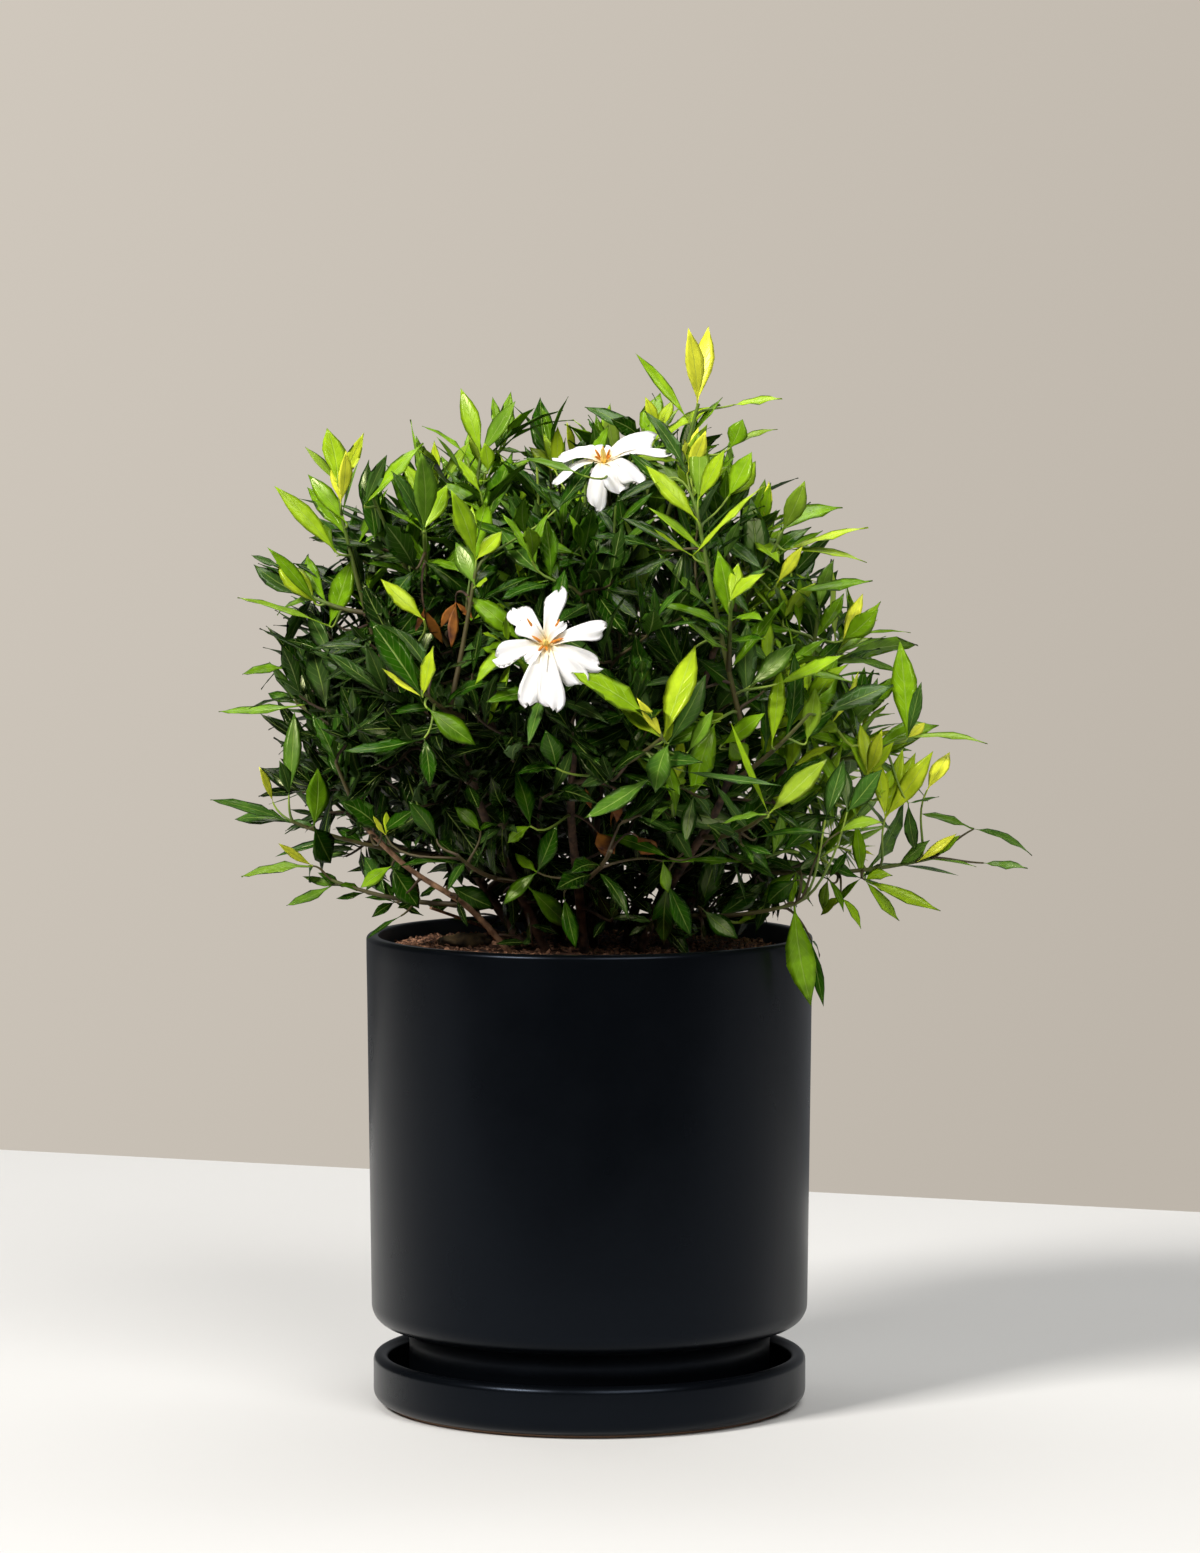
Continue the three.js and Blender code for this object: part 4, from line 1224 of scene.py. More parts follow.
def skirt_targets(draw):
    """Low points among the stems, where small dark leaves close the view through the plant."""
    for k in range(SKIRT_TWIGS):
        angle = k * GOLDEN_ANGLE
        outward = np.array([math.cos(angle), math.sin(angle), 0.0])
        reach = SKIRT_HOLLOW + SKIRT_REACH * math.sqrt(draw())
        target = SKIRT_MIDDLE + outward * reach + SKY * SKIRT_HEIGHT * draw()
        yield target, unit(outward + SKY * 0.8), outward


# --- The shoots ---


def cad_shoots():
    """Each shoot's node with its twig paths and youth, in the CAD model's order."""
    for name, (stem, at, _, _) in FLOWERS.items():
        middle, axis, _, _ = FLOWER_FRAMES[name]
        path = flower_twig_path(STEM_PATHS[stem].at(at), middle - axis * FLOWER_DEPTH, axis)
        yield name + "_shoot", [path], 0.2
    for name, (stem, at, tips, youth) in SHOOTS.items():
        main = twig_path(STEM_PATHS[stem].at(at), tips[0])
        yield "shoot_" + name, [main, *(twig_path(main.at(FORK), tip) for tip in tips[1:])], youth


# A spray leaf's tone: green is plain, and grey mixes in a cool grey-green that is the painted sheen of a
# glossy leaf.
GREY_SHEEN = 0.95
GREEN = 0.4
# Sprays of leaves that the photograph shows clearly, as pixels of its 1200 x 1553 frame.
# name: (shoot, where its leaves meet, depth behind the pot's axis, leaves), and each leaf is
# (tip, width in millimetres, youth, degrees it is rolled from the sky to the camera), with its tone where
# it isn't green. A leaf's youth sets its colour and carries painted light and shade as well as age: it is
# raised on leaves that are to look lit and lowered on those that are to look shaded.
SPRAYS = {
    "top_pair": ("crown", (697, 403), -40, [((688, 331), 11, 1.0, 90), ((708, 324), 12, 1.0, 90)]),
    "top_thin": ("crown", (688, 420), -38, [((638, 352), 6, 0.45, 60)]),
    "top_small": ("crown", (657, 432), -34, [((649, 397), 7, 0.85, 80), ((672, 398), 8, 0.75, 70)]),
    "top_dark": ("crown", (640, 437), -30, [((595, 389), 12, 0.2, 60, GREY_SHEEN), ((617, 418), 10, 0.1, 60)]),
    "top_right_thin": ("crown", (733, 405), -30, [((777, 392), 7, 0.6, 50)]),
    "upper_right_fan": ("upper_right", (698, 500), -118, [
        ((692, 432), 12, 0.5, 80, GREY_SHEEN), ((720, 448), 10, 0.62, 80)]),
    "upper_right_front": ("upper_right", (697, 520), -120, [((659, 457), 12, 0.66, 65)]),
    "upper_right_back": ("upper_right", (687, 474), -105, [
        ((652, 407), 9, 0.15, 45, GREY_SHEEN), ((708, 434), 9, 0.95, 70)]),
    "upper_right_low": ("upper_right", (693, 556), -118, [
        ((652, 535), 6, 0.6, 40), ((627, 503), 9, 0.1, 50), ((760, 485), 5, 0.7, 40)]),
    "flower_leaf_right": ("upper_right", (672, 490), -112, [((629, 447), 8, 0.15, 60)]),
    "flower_leaf_left": ("upper_left", (584, 476), -108, [((526, 457), 6, 0.35, 50, GREY_SHEEN)]),
    "flower_leaf_front": ("crown", (556, 510), -110, [((597, 467), 9, 0.12, 60)]),
    "flower_leaf_low": ("upper_right", (668, 478), -114, [((617, 493), 8, 0.1, 50)]),
    "right_peak": ("right_top", (728, 497), -75, [((760, 462), 12, 0.5, 75), ((748, 452), 13, 0.45, 70)]),
    "right_peak_top": ("right_top", (730, 448), -60, [
        ((740, 420), 12, 0.35, 80), ((776, 422), 6, 0.65, 50, GREY_SHEEN)]),
    "right_top_pair": ("right_top", (782, 531), -40, [
        ((838, 490), 14, 0.38, 65), ((807, 486), 12, 0.6, 75, GREY_SHEEN)]),
    "right_top_low": ("right_top", (786, 550), -42, [
        ((862, 519), 6, 0.75, 50), ((823, 537), 7, 0.3, 40), ((866, 552), 6, 0.65, 50)]),
    "yellow_pair": ("upper_right", (730, 602), -140, [
        ((741, 562), 9, 0.62, 75), ((757, 570), 9, 0.66, 65)]),
    "right_yellow": ("right", (777, 583), -60, [((799, 545), 8, 0.9, 70), ((763, 592), 7, 0.2, 60, GREY_SHEEN)]),
    "right_outer": ("right", (843, 640), -32, [
        ((858, 590), 8, 1.0, 75), ((876, 610), 13, 0.4, 70), ((908, 623), 5, 0.45, 30)]),
    "right_olive": ("right", (797, 590), -40, [((872, 589), 11, 0.3, 50), ((828, 623), 6, 0.25, 40)]),
    "far_right_tall": ("right_mid", (908, 738), -38, [
        ((892, 643), 15, 0.42, 85), ((919, 683), 9, 0.1, 70, GREY_SHEEN), ((927, 720), 6, 1.0, 70),
        ((984, 728), 7, 0.6, 40, GREY_SHEEN)]),
    "right_bright": ("right_mid", (886, 818), -42, [
        ((932, 752), 12, 0.8, 85), ((914, 752), 11, 0.72, 85), ((882, 758), 9, 0.75, 80),
        ((900, 748), 9, 0.7, 85)]),
    "right_bright_top": ("right_mid", (928, 790), -40, [((951, 752), 10, 1.0, 80)]),
    "right_inner": ("right_mid", (868, 775), -55, [
        ((877, 730), 9, 0.85, 75), ((866, 722), 9, 0.8, 70), ((893, 742), 7, 0.7, 70)]),
    "right_drop": ("right_mid", (909, 803), -44, [
        ((917, 853), 7, 0.15, 60), ((940, 803), 5, 0.2, 30, GREY_SHEEN)]),
    "far_right_low": ("right_low", (918, 862), -30, [((954, 831), 6, 1.0, 70)]),
    "far_right_long": ("right_low", (975, 829), -25, [
        ((1040, 836), 8, 0.25, 55, GREY_SHEEN), ((925, 815), 6, 0.3, 40, GREY_SHEEN)]),
    "far_right_tip": ("right_low", (985, 863), -22, [((1028, 864), 6, 0.3, 50, GREY_SHEEN)]),
    "right_low_fan": ("right_low", (866, 880), -35, [
        ((938, 913), 8, 0.6, 50), ((887, 868), 9, 0.55, 60), ((901, 922), 6, 0.5, 50)]),
    "right_low_small": ("right_low", (842, 897), -38, [((867, 924), 6, 0.5, 60), ((819, 915), 7, 0.6, 70)]),
    "right_front_dark": ("right_front", (825, 713), -108, [((890, 675), 13, 0.1, 60, GREY_SHEEN)]),
    "right_front_bright": ("right_front", (777, 684), -118, [((845, 660), 10, 0.5, 60)]),
    "right_front_tall": ("right_front", (772, 745), -112, [((775, 667), 10, 0.54, 80)]),
    "right_front_shiny": ("right_front", (807, 742), -108, [((818, 690), 11, 0.6, 75, GREY_SHEEN)]),
    "pale_yellow": ("front_right", (769, 814), -160, [
        ((821, 753), 12, 0.76, 85, GREY_SHEEN), ((739, 722), 4, 0.52, 60), ((720, 815), 6, 0.4, 40, GREY_SHEEN)]),
    "right_dark_pair": ("right_front", (848, 812), -100, [
        ((878, 768), 13, 0.15, 75, GREY_SHEEN), ((841, 760), 9, 0.1, 75, GREY_SHEEN)]),
    "hanging_leaf": ("hanging", (795, 904), -80, [((803, 1007), 17, 0.35, 85)]),
    "hanging_dark": ("hanging", (812, 940), -68, [((830, 1005), 7, 0.15, 70), ((829, 955), 5, 0.2, 60)]),
    "centre_pale": ("front_centre", (663, 738), -172, [
        ((692, 641), 16, 0.72, 88), ((640, 700), 6, 1.0, 70), ((614, 708), 8, 0.68, 60)]),
    "centre_bright": ("front_centre", (652, 722), -172, [((583, 665), 14, 0.5, 65)]),
    "centre_dark": ("front_centre", (669, 743), -170, [
        ((711, 677), 13, 0.15, 75, GREY_SHEEN), ((651, 790), 14, 0.25, 80, GREY_SHEEN)]),
    "centre_shiny": ("front_centre", (688, 752), -160, [((711, 710), 9, 0.4, 75, GREY_SHEEN)]),
    "centre_broad": ("front_centre", (694, 656), -120, [((757, 695), 13, 0.1, 70)]),
    "right_olive_low": ("right_front", (722, 745), -122, [((763, 715), 11, 0.4, 75)]),
    "right_round": ("right_front", (729, 741), -118, [((748, 762), 13, 0.34, 80)]),
    "right_grey": ("right_front", (750, 686), -112, [((795, 645), 13, 0.3, 75, GREY_SHEEN)]),
    "right_grey_low": ("right_front", (826, 820), -104, [((837, 757), 11, 0.14, 75, GREY_SHEEN)]),
    "right_pale_low": ("right_front", (840, 832), -102, [((875, 815), 10, 0.62, 55, GREY_SHEEN)]),
    "right_inner_low": ("right_mid", (880, 795), -48, [
        ((895, 765), 8, 0.6, 80), ((853, 737), 8, 0.5, 75), ((870, 780), 9, 0.75, 75)]),
    "centre_long": ("front_centre", (652, 776), -166, [((585, 818), 12, 0.25, 55, GREY_SHEEN)]),
    "low_arch": ("front_low", (670, 858), -118, [((607, 825), 10, 0.22, 70)]),
    "low_edge": ("front_low", (663, 861), -112, [((748, 859), 6, 0.25, 40), ((672, 895), 8, 0.35, 70)]),
    "low_dark": ("front_low", (668, 884), -96, [((668, 947), 13, 0.12, 85), ((697, 934), 12, 0.16, 70)]),
    "low_dark_right": ("front_right", (704, 910), -80, [((738, 938), 12, 0.12, 75)]),
    "low_right_pair": ("front_right", (709, 826), -110, [((734, 853), 10, 0.12, 70)]),
    "low_long": ("front_right", (757, 838), -120, [
        ((708, 789), 8, 0.1, 55, GREY_SHEEN), ((829, 824), 7, 0.2, 45)]),
    "low_rim": ("hanging", (797, 880), -78, [((764, 905), 12, 0.18, 70)]),
    "low_middle": ("front_low", (537, 872), -105, [
        ((502, 903), 9, 0.25, 75), ((515, 857), 7, 0.4, 60), ((552, 828), 12, 0.15, 75)]),
    "low_pair": ("front_low", (528, 887), -95, [((574, 924), 13, 0.25, 75)]),
    "low_small": ("front_low", (564, 897), -90, [((580, 945), 9, 0.22, 75)]),
    "low_left_wing": ("front_low_left", (530, 826), -118, [
        ((505, 845), 7, 0.4, 60), ((517, 773), 11, 0.2, 75)]),
    "low_left_tips": ("front_low_left", (480, 831), -122, [
        ((457, 807), 9, 0.25, 75), ((497, 812), 8, 0.2, 60)]),
    "low_left_bright": ("front_low_left", (436, 839), -128, [
        ((461, 853), 10, 0.14, 70), ((409, 803), 10, 0.16, 75)]),
    "low_left_dark": ("front_low_left", (381, 832), -118, [
        ((352, 795), 14, 0.12, 60), ((414, 812), 9, 0.15, 60)]),
    "branch_leaf": ("left_bottom", (391, 866), -66, [((359, 889), 8, 0.4, 70), ((421, 905), 14, 0.12, 80)]),
    "behind_branch": ("left_bottom", (450, 886), -48, [((494, 904), 14, 0.1, 75)]),
    "centre_low_pair": ("front_centre", (556, 768), -140, [
        ((515, 766), 8, 0.2, 60), ((546, 733), 13, 0.15, 75)]),
    "centre_thin": ("front_centre", (684, 771), -160, [((780, 788), 7, 0.15, 40, GREY_SHEEN)]),
    "big_glossy": ("front_left", (422, 697), -160, [
        ((364, 625), 16, 0.14, 75), ((432, 648), 8, 0.78, 60), ((382, 672), 4, 0.9, 50)]),
    "left_front_leaf": ("front_left", (427, 708), -160, [((477, 741), 14, 0.28, 75)]),
    "left_front_low": ("front_left", (424, 738), -158, [
        ((350, 762), 10, 0.16, 50), ((428, 782), 10, 0.12, 55)]),
    "mid_shiny": ("front_left", (476, 560), -130, [((457, 491), 12, 0.5, 80), ((499, 527), 10, 0.68, 75)]),
    "mid_shiny_low": ("front_left", (475, 586), -132, [
        ((457, 540), 12, 0.35, 80, GREY_SHEEN), ((489, 583), 8, 0.6, 60)]),
    "low_left_young": ("front_low_left", (385, 835), -120, [
        ((369, 818), 4, 0.95, 60), ((388, 810), 5, 0.8, 70)]),
    "left_low_fan": ("left_low", (290, 822), -25, [
        ((230, 803), 13, 0.22, 60, GREY_SHEEN), ((214, 796), 7, 0.2, 45, GREY_SHEEN)]),
    "left_low_young": ("left_low", (272, 802), -22, [((260, 767), 5, 0.95, 70)]),
    "left_low_tall": ("left_low", (288, 795), -28, [
        ((297, 712), 11, 0.27, 75, GREY_SHEEN), ((279, 762), 8, 0.1, 70, GREY_SHEEN)]),
    "left_low_broad": ("left_low", (313, 826), -36, [
        ((315, 770), 14, 0.28, 88), ((336, 862), 17, 0.15, 80)]),
    "left_bottom_fan": ("left_bottom", (312, 866), -40, [
        ((240, 873), 7, 0.5, 60, GREY_SHEEN), ((273, 845), 5, 0.95, 60), ((300, 880), 7, 0.2, 60)]),
    "left_bottom_low": ("left_bottom", (331, 885), -40, [((287, 908), 8, 0.35, 50, GREY_SHEEN)]),
    "left_bottom_tip": ("left_bottom", (400, 916), -60, [((362, 936), 4, 0.1, 40)]),
    "left_outer": ("left", (287, 668), -10, [((243, 672), 7, 0.35, 50)]),
    "left_outer_low": ("left", (301, 705), -8, [((222, 713), 8, 0.35, 45)]),
    "left_mid_pair": ("left_top", (316, 604), -32, [((276, 545), 9, 0.35, 70), ((278, 560), 14, 0.74, 80)]),
    "left_mid_thin": ("left_top", (329, 626), -30, [
        ((240, 590), 4, 0.55, 40, GREY_SHEEN), ((350, 560), 14, 0.35, 80)]),
    "left_mid_small": ("left_top", (282, 566), -24, [((251, 557), 6, 0.2, 50, GREY_SHEEN)]),
    "left_top_fan": ("left_top", (338, 484), -52, [
        ((328, 425), 13, 0.6, 85), ((359, 435), 7, 0.85, 60), ((310, 442), 6, 0.65, 70, GREY_SHEEN)]),
    "left_top_yellow": ("left_top", (341, 503), -56, [((345, 453), 8, 1.0, 80), ((331, 462), 8, 0.95, 75)]),
    "left_top_side": ("left_top", (347, 524), -52, [((311, 470), 10, 0.4, 75)]),
    "left_top_low": ("left_top", (336, 552), -50, [((276, 487), 11, 0.58, 75), ((302, 508), 10, 0.45, 60)]),
    "left_crown_fan": ("left_crown", (365, 505), -70, [
        ((414, 436), 9, 0.45, 55), ((385, 452), 8, 0.2, 60, GREY_SHEEN)]),
    "left_crown_pair": ("left_crown", (424, 530), -90, [
        ((418, 455), 14, 0.35, 85, GREY_SHEEN), ((450, 485), 11, 0.5, 75), ((398, 470), 9, 0.15, 60, GREY_SHEEN)]),
    "upper_left_pair": ("upper_left", (481, 455), -20, [
        ((458, 388), 11, 0.5, 80), ((507, 398), 11, 0.42, 80, GREY_SHEEN)]),
    "upper_left_low": ("upper_left", (488, 472), -24, [((484, 444), 9, 0.5, 80)]),
    "middle_peak": ("upper_left", (556, 472), -15, [
        ((545, 432), 7, 0.6, 70), ((557, 430), 8, 0.72, 80), ((531, 445), 9, 0.7, 70)]),
    "middle_peak_right": ("crown_back", (573, 462), 10, [
        ((567, 424), 6, 0.85, 70), ((583, 433), 6, 0.2, 60, GREY_SHEEN)]),
    "left_gap": ("left_bottom", (448, 906), 10, [
        ((424, 901), 6, 0.08, 60), ((430, 912), 5, 0.05, 60), ((462, 895), 5, 0.08, 50)]),
    "left_gap_low": ("left_bottom", (418, 897), -45, [
        ((398, 911), 6, 0.08, 60), ((409, 876), 6, 0.1, 60), ((434, 886), 5, 0.1, 60)]),
    "left_edge_low": ("left_bottom", (394, 902), -40, [
        ((363, 892), 5, 0.12, 60), ((371, 914), 5, 0.1, 60), ((421, 916), 5, 0.06, 60),
        ((384, 882), 6, 0.1, 60)]),
    "left_edge_thin": ("left_bottom", (364, 892), -38, [
        ((343, 880), 5, 0.25, 55), ((338, 899), 5, 0.12, 50), ((379, 874), 5, 0.12, 60)]),
    "left_edge_tip": ("left_bottom", (340, 886), -38, [
        ((303, 879), 5, 0.3, 50, GREY_SHEEN), ((322, 870), 6, 0.15, 60)]),
    "left_gap_back": ("left_bottom", (480, 905), 10, [
        ((466, 884), 6, 0.08, 60), ((498, 890), 6, 0.08, 60), ((505, 908), 5, 0.06, 50)]),
    "right_low_back": ("right_low", (862, 878), -20, [
        ((894, 891), 5, 0.3, 55, GREY_SHEEN), ((824, 866), 5, 0.15, 60), ((896, 857), 5, 0.15, 60, GREY_SHEEN),
        ((855, 824), 8, 0.4, 80), ((834, 903), 5, 0.35, 70)]),
    "right_low_tuft": ("right_low", (829, 879), -40, [
        ((801, 842), 6, 0.12, 70, GREY_SHEEN), ((816, 836), 5, 0.18, 70), ((796, 866), 5, 0.12, 60),
        ((823, 915), 7, 0.5, 70, GREY_SHEEN), ((850, 903), 5, 0.28, 60), ((847, 849), 5, 0.15, 60)]),
    "right_low_inner": ("hanging", (797, 872), -66, [
        ((766, 899), 8, 0.28, 75), ((771, 857), 6, 0.12, 60), ((808, 900), 5, 0.25, 60),
        ((786, 903), 5, 0.35, 60), ((821, 853), 5, 0.15, 60, GREY_SHEEN)]),
}


# Leaves that have died and hang on inside the crown, written as the sprays are
WITHERED = {
    "brown_upper": ("withered", (456, 602), -104, [
        ((463, 645), 6, 0, 70), ((447, 630), 5, 0, 80), ((470, 620), 5, 0, 60)]),
    "brown_upper_left": ("withered", (424, 608), -102, [
        ((441, 645), 6, 0, 75), ((417, 634), 5, 0, 60), ((433, 626), 4, 0, 40)]),
    "brown_thin": ("withered", (585, 787), -108, [((590, 808), 4, 0, 70)]),
    "brown_middle": ("withered", (620, 801), -104, [((604, 822), 7, 0, 65), ((617, 819), 5, 0, 50)]),
    "brown_low": ("withered", (597, 832), -104, [((619, 851), 10, 0, 75), ((603, 858), 6, 0, 60)]),
    "orange": ("withered", (637, 836), -112, [((655, 857), 11, 0, 80)]),
}

# The bare branch at the lower left: (from, to, depth behind the pot's axis)
BARE_BRANCH = [((400, 862), (450, 893), -66), ((450, 893), (515, 925), -52), ((380, 760), (412, 806), -60)]
# Nothing grows in front of it within this many pixels.
BRANCH_ROOM = 9


def feature_lines():
    """Where each placed leaf shows, so that nothing grows in front of it: base, tip, room and depth."""
    lines = [(start, end, BRANCH_ROOM, depth) for start, end, depth in BARE_BRANCH]
    for sprays, room in ((SPRAYS, 1.0), (WITHERED, 1.8)):
        for _, base, depth, leaves in sprays.values():
            lines += [(base, tip, width * room, depth + 6) for tip, width, *_ in leaves]
    return [np.array(column, float) for column in zip(*lines)]


FEATURES = feature_lines()

# No two neighbouring leaves of a spray lie in one plane.
LEANS = (28, -10, 16, 34)
TIP_DEPTHS = (-12, 8, -4, 12)
# A leaf that is rolled past this faces the camera and lies flat; the others are arched, broad or upturned.
FLAT_FROM = 65
CURVED_SHAPES = (1, 2, 5)
LOW_TWIG_YOUTH = 0.2
SPRAY_TWIG_RADII = (0.9, 0.5)


def photo_leaf(skeleton, base, depth, index, number, tip, width, youth, roll, tone=GREEN):
    """A leaf from its base in the crown to the pixel of its tip."""
    along = seen_at(tip, depth + TIP_DEPTHS[(index + number) % len(TIP_DEPTHS)]) - base
    turn = math.radians(roll)
    lean = math.radians(LEANS[(index + 2 * number) % len(LEANS)])
    sideways = unit(np.cross(along, TO_CAMERA))
    lit_side = sideways if sideways @ TO_LIGHT > 0 else -sideways
    rolled = SKY * math.cos(turn) + TO_CAMERA * math.sin(turn)
    up = rolled * math.cos(lean) + lit_side * math.sin(lean)
    shape = 0 if roll > FLAT_FROM else CURVED_SHAPES[(index + number) % len(CURVED_SHAPES)]
    length = np.linalg.norm(along) * 1.02
    skeleton.leaf(base, along, up, length, width / math.cos(lean), youth, tone, shape)


def set_sprays(sprays, skeletons, carriers, twig_youth):
    """Each spray's own twiglet leaves the nearest twig and carries its leaves."""
    for index, (shoot, pixel, depth, leaves) in enumerate(sprays.values()):
        base = seen_at(pixel, depth)
        skeleton = skeletons["shoot_" + shoot]
        middle_tip = np.mean([seen_at(tip, depth) for tip, *_ in leaves], axis=0)
        growth = unit(middle_tip - base)
        start, leaving = carriers.nearest(base, growth, 3)
        if np.linalg.norm(start - base) > 2:
            youth = min(twig_youth, LOW_TWIG_YOUTH) if base[2] < BARE_BELOW else twig_youth
            skeleton.twig(branch_path(start, leaving, base, growth), *SPRAY_TWIG_RADII, youth, 8)
        for number, leaf in enumerate(leaves):
            photo_leaf(skeleton, base, depth, index, number, *leaf)


def grow_main_twigs(skeletons, carriers):
    """The twigs that the CAD model has too, each with its node, line, youth and seed."""
    twigs = []
    for index, (node, paths, youth) in enumerate(cad_shoots()):
        skeletons[node] = Skeleton()
        for fork, path in enumerate(paths):
            skeletons[node].twig(path, TWIG_RADIUS, TWIG_TIP_RADIUS, youth)
            carriers.add(path, 0.1)
            twigs.append((node, path, youth, 100 * index + fork + 1))
    return twigs


def growth_youth_and_light(share, direction, low, draw):
    """Leaf youth, partly the growth's real age and partly painted light and shade: lighter at the top and
    down the crown's right side, darker deep inside the crown, low down and at its left.
    """
    lit = max(0.0, direction[2], 1.3 * direction[0])
    chance = 0.0 if low and direction[0] < 0.6 else share ** 3 * (0.03 + 0.6 * lit)
    # Painted shade and light: older leaves are darker the deeper in the crown they grow, and up to 40 per
    # cent lighter at the right and darker at the left; the newest are lighter still at the right.
    old_and_shaded = (0.01 + share ** 2 * (0.04 + 0.25 * lit)) * (1 + 0.4 * direction[0])
    newest_and_lit = 0.4 + 0.16 * max(0.0, direction[0])
    return newest_and_lit + 0.3 * draw() if draw() < chance else old_and_shaded * (0.3 + 1.4 * draw())


def fill_crown(skeletons, carriers, tips):
    """Grows the crown from the inside out; each shell's twigs can carry those of the next."""
    draw = random_source(CROWN_SEED)
    shells = [(SKIRT_SHARE, SKIRT_NODES, skirt_targets(draw))]
    shells += [(share, nodes, shell_targets(share, count, draw)) for share, count, nodes in SHELLS]
    for shell, (share, nodes, targets) in enumerate(shells):
        grown = []
        for number, (target, growth, direction) in enumerate(targets):
            path = branch_path(*carriers.nearest(target, growth), target, growth)
            node = min(tips, key=lambda name: np.linalg.norm(tips[name] - target))
            low = target[2] < BARE_BELOW
            youth = growth_youth_and_light(share, direction, low, draw)
            skeletons[node].twig(path, 1.3 - 0.3 * share, 0.6, youth * 1.5, 6)
            size = LOW_LEAF_SIZE if low else 1.0
            seed = FIRST_SHELL_SEED + SHELL_SEED_STEP * shell + number
            leafy(skeletons[node], path, seed, youth, nodes, 0.4, size)
            grown.append(path)
        for path in grown:
            carriers.add(path, 0.2)


def grow_plant():
    skeletons, carriers = {}, Carriers()
    for path in STEM_PATHS.values():
        carriers.add(path, 0.3)
    twigs = grow_main_twigs(skeletons, carriers)
    set_sprays(SPRAYS, skeletons, carriers, 0.8)
    withered = Skeleton()
    set_sprays(WITHERED, {"shoot_withered": withered}, carriers, 0.0)
    place(withered.grow("withered_leaves", BARK, 5, 0.2, DRY_LEAF, DRY_LEAF), "leaf")
    for node, path, youth, seed in twigs:
        leafy(skeletons[node], path, seed, youth, 6, 0.3)
    fill_crown(skeletons, carriers, {node: path.at(1) for node, path, _, _ in reversed(twigs)})
    for index, (node, skeleton) in enumerate(skeletons.items()):
        name = node.replace("shoot", "leafy_shoot")
        place(skeleton.grow(name, TWIG, index + 1, 0.08), "leaf", node)


grow_plant()

# --- Woody stems ---


# The low branch at the left is thin and pale, and a bare stick leaves the soil behind it.
YOUNG_STEM = "left_branch"
YOUNG_SHARE = 0.68
STICK = (((520, 941), 47), ((478, 924), 0), ((430, 908), -62))
STICK_RADIUS = 1.2


def make_stems():
    for name, path in STEM_PATHS.items():
        skeleton = Skeleton()
        young = name == YOUNG_STEM
        share = YOUNG_SHARE if young else 1.0
        skeleton.twig(path, STEM_RADIUS * share, STEM_TIP_RADIUS * share, 0.0, 28)
        if young:
            stick = bezier(*(seen_at(*spot) for spot in STICK))
            skeleton.twig(stick, STICK_RADIUS, STICK_RADIUS * 0.7, 0.0)
        skin = YOUNG_BARK if young else BARK
        place(skeleton.grow("bark_stem_" + name, skin), "bark", "stem_" + name)


make_stems()

# --- Flowers ---

# Each lobe: degrees round the flower from its left going up, length, width, lift from flat, curl back, slant
LOBES = {
    "front_flower": [
        (102, 31, 11.5, 0.3, 0.25, -0.08), (50, 27, 14.5, 0.3, 0.3, 0.05), (36, 18, 11.5, 0.6, 0.2, 0.0),
        (-13, 28, 13, 0.25, 0.3, 0.06), (-46, 15, 7.5, 0.5, 0.2, 0.0), (-75, 33.5, 15, 0.18, 0.3, -0.05),
        (-96, 35.5, 15, 0.22, 0.3, 0.06), (-131, 29, 13.5, 0.2, 0.25, 0.05),
        (-159, 31, 10.5, 0.12, 0.3, -0.08), (166, 33, 11, 0.38, 0.3, 0.06), (134, 14, 7, 0.7, 0.1, -0.05)],
    "top_flower": [
        (4, 27, 13, 0.36, 0.28, 0.1), (-20, 30, 9, 0.22, 0.42, 0.0), (-80, 25, 12, 0.1, 0.62, 0.12),
        (-114, 24, 15, 0.22, 0.4, -0.1), (-140, 25, 15, 0.26, 0.36, 0.1), (168, 34, 17, 0.28, 0.28, -0.12),
        (146, 32, 16, 0.2, 0.2, 0.1), (88, 15, 12, 0.2, 0.3, 0.0), (38, 24, 13, 0.16, 0.3, 0.05)],
}
# How far the lobes meet below each flower's middle, along its axis
THROAT_DEPTH = {"front_flower": 0.0, "top_flower": 4.0}
# Each anther: degrees round the flower, distances from its axis at both ends, height of its far end
ANTHERS = {
    "front_flower": [
        (51, 8.0, 15.5, 9.5), (24, 2.2, 9.5, 6.0), (124, 4.0, 14.0, 9.0), (170, 2.5, 10.0, 6.0),
        (-50, 1.8, 6.0, 4.5), (-100, 1.8, 4.5, 4.0)],
    "top_flower": [
        (12, 2.0, 4.6, 8.5), (-25, 2.2, 5.0, 6.0), (178, 1.8, 3.8, 9.0), (200, 2.0, 4.8, 6.0),
        (90, 1.8, 3.0, 9.0)],
}
ANTHER_RADIUS = 0.75
ANTHER_ROOT = 2.5
STYLE_HEIGHT = {"front_flower": 8.0, "top_flower": 10.5}
STYLE_THICKNESS = 1.6
PETAL_ROWS = (0.0, 0.1, 0.22, 0.36, 0.5, 0.62, 0.74, 0.84, 0.92, 0.97, 1.0)
PETAL_COLUMNS = 9


def petal_half(t):
    """Half the width at a fraction of the length: narrow at the throat, broad and blunt at the end."""
    opening = 0.36 + 0.64 * min(1.0, t / 0.74) ** 1.2
    rounding = math.sqrt(max(0.0, 1 - (max(0.0, t - 0.8) / 0.2) ** 3)) if t < 1 else 0.25
    return 0.5 * opening * rounding


def throat_frame(name):
    centre, axis, side, upright = FLOWER_FRAMES[name]
    return centre - axis * THROAT_DEPTH[name], axis, side, upright


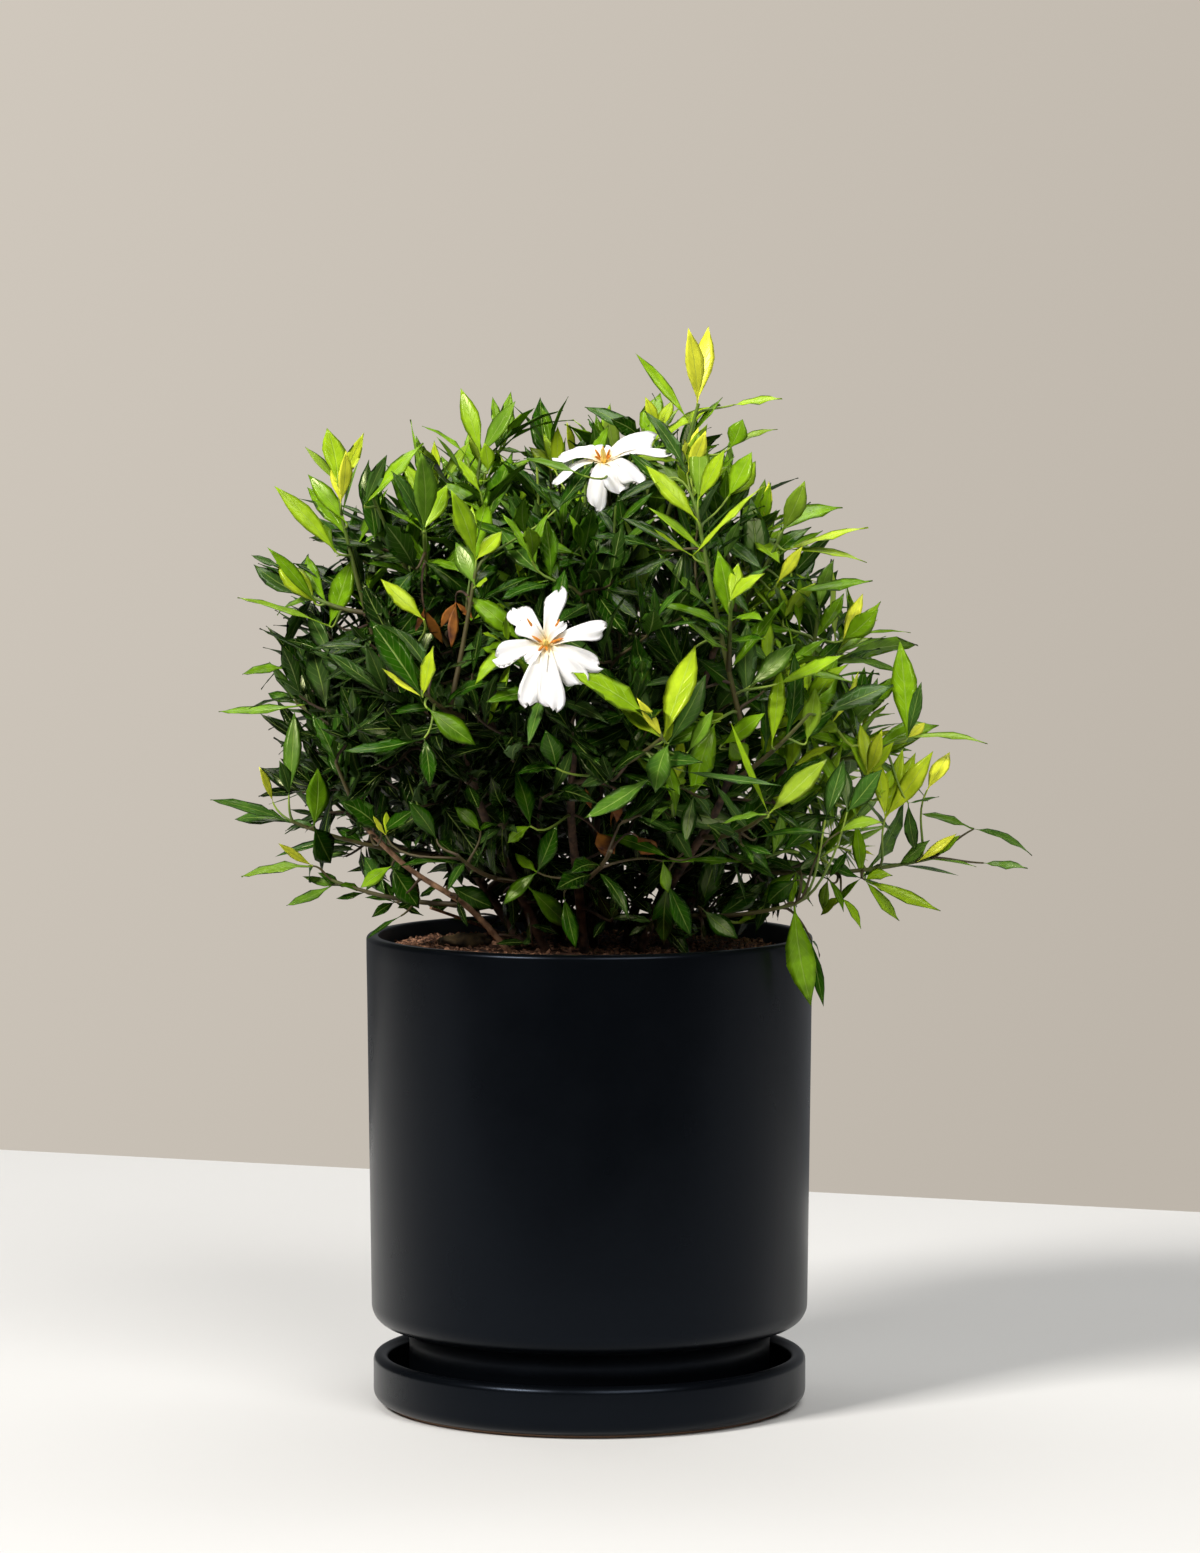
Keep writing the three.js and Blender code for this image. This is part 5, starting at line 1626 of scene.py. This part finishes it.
def petal(axes, lobe, seed):
    """The points of one lobe's two sheets and their places on the petal."""
    centre, axis, side, upright = axes
    angle, length, width, lift, curl, slant = lobe
    outward = ray(side, upright, math.radians(angle))
    across = np.cross(axis, outward)
    draw = random_source(seed)
    phase, twist, wave = 6 * draw(), 0.5 * (draw() - 0.5), 0.8 + 0.8 * draw()
    points, uvs = [], []
    for sheet in (1, -1):
        for t in PETAL_ROWS:
            for k in range(PETAL_COLUMNS):
                u = -1 + 2 * k / (PETAL_COLUMNS - 1)
                half = width * petal_half(t)
                rise = length * (lift * t - curl * t * t) + 1.6 * math.sin(math.pi * min(t * 1.3, 1))
                cup = 0.16 * width * abs(u) ** 1.5 * math.sin(math.pi * min(1, 0.15 + t))
                ripple = wave * t * t * math.sin(4.5 * u + phase + 2 * t) + twist * u * half * t * 1.6
                notch = 1 + (0.04 * math.cos(5 * u + phase) + slant * u) * t ** 3
                thick = 0.3 * sheet * (1 - abs(u) ** 4) * (1 - t ** 10 if t < 1 else 0)
                points.append(centre + outward * (1.4 + (length - 1.4) * t * notch) + across * (u * half)
                              + axis * (rise + cup + ripple + thick))
                uvs.append((0.5 + 0.5 * u, t))
    return points, uvs


def make_petals(name):
    points, faces, uvs = [], [], []
    corners = (0, PETAL_COLUMNS, PETAL_COLUMNS + 1, 1)
    for number, lobe in enumerate(LOBES[name]):
        spots, values = petal(throat_frame(name), lobe, 31 * number + 5)
        faces += two_sheets(len(points), len(PETAL_ROWS), PETAL_COLUMNS, corners)
        points += spots
        uvs += values
    piece = mesh_object(name + "_corolla", points, faces, [PETAL])
    write_uvs(piece.data, uvs)
    join_sheets(piece.data, 1e-6)
    place(piece, "petal", name + "_petals")


def make_anthers(name):
    """Slender anthers that lie out between the lobes, round a thick pale style."""
    centre, axis, side, upright = throat_frame(name)
    anthers, style = Skeleton(), Skeleton()
    for angle, near, far, height in ANTHERS[name]:
        outward = ray(side, upright, math.radians(angle))
        root = centre + outward * near + axis * ANTHER_ROOT
        tip = centre + outward * far + axis * height
        anthers.spindle(bezier(root, (root + tip) / 2 + axis * 0.8, tip), ANTHER_RADIUS)
    line = bezier(centre - axis * 3, centre + axis * 4, centre + axis * STYLE_HEIGHT[name])
    style.spindle(line, STYLE_THICKNESS)
    place(anthers.grow(name + "_anthers", POLLEN), "stamen", name + "_stamens")
    place(style.grow(name + "_style", STYLE_SKIN), "stamen")


for flower in FLOWERS:
    make_petals(flower)
    make_anthers(flower)
    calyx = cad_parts[flower + "_calyx"]
    calyx.data.materials.clear()
    calyx.data.materials.append(SEPAL_SKIN)
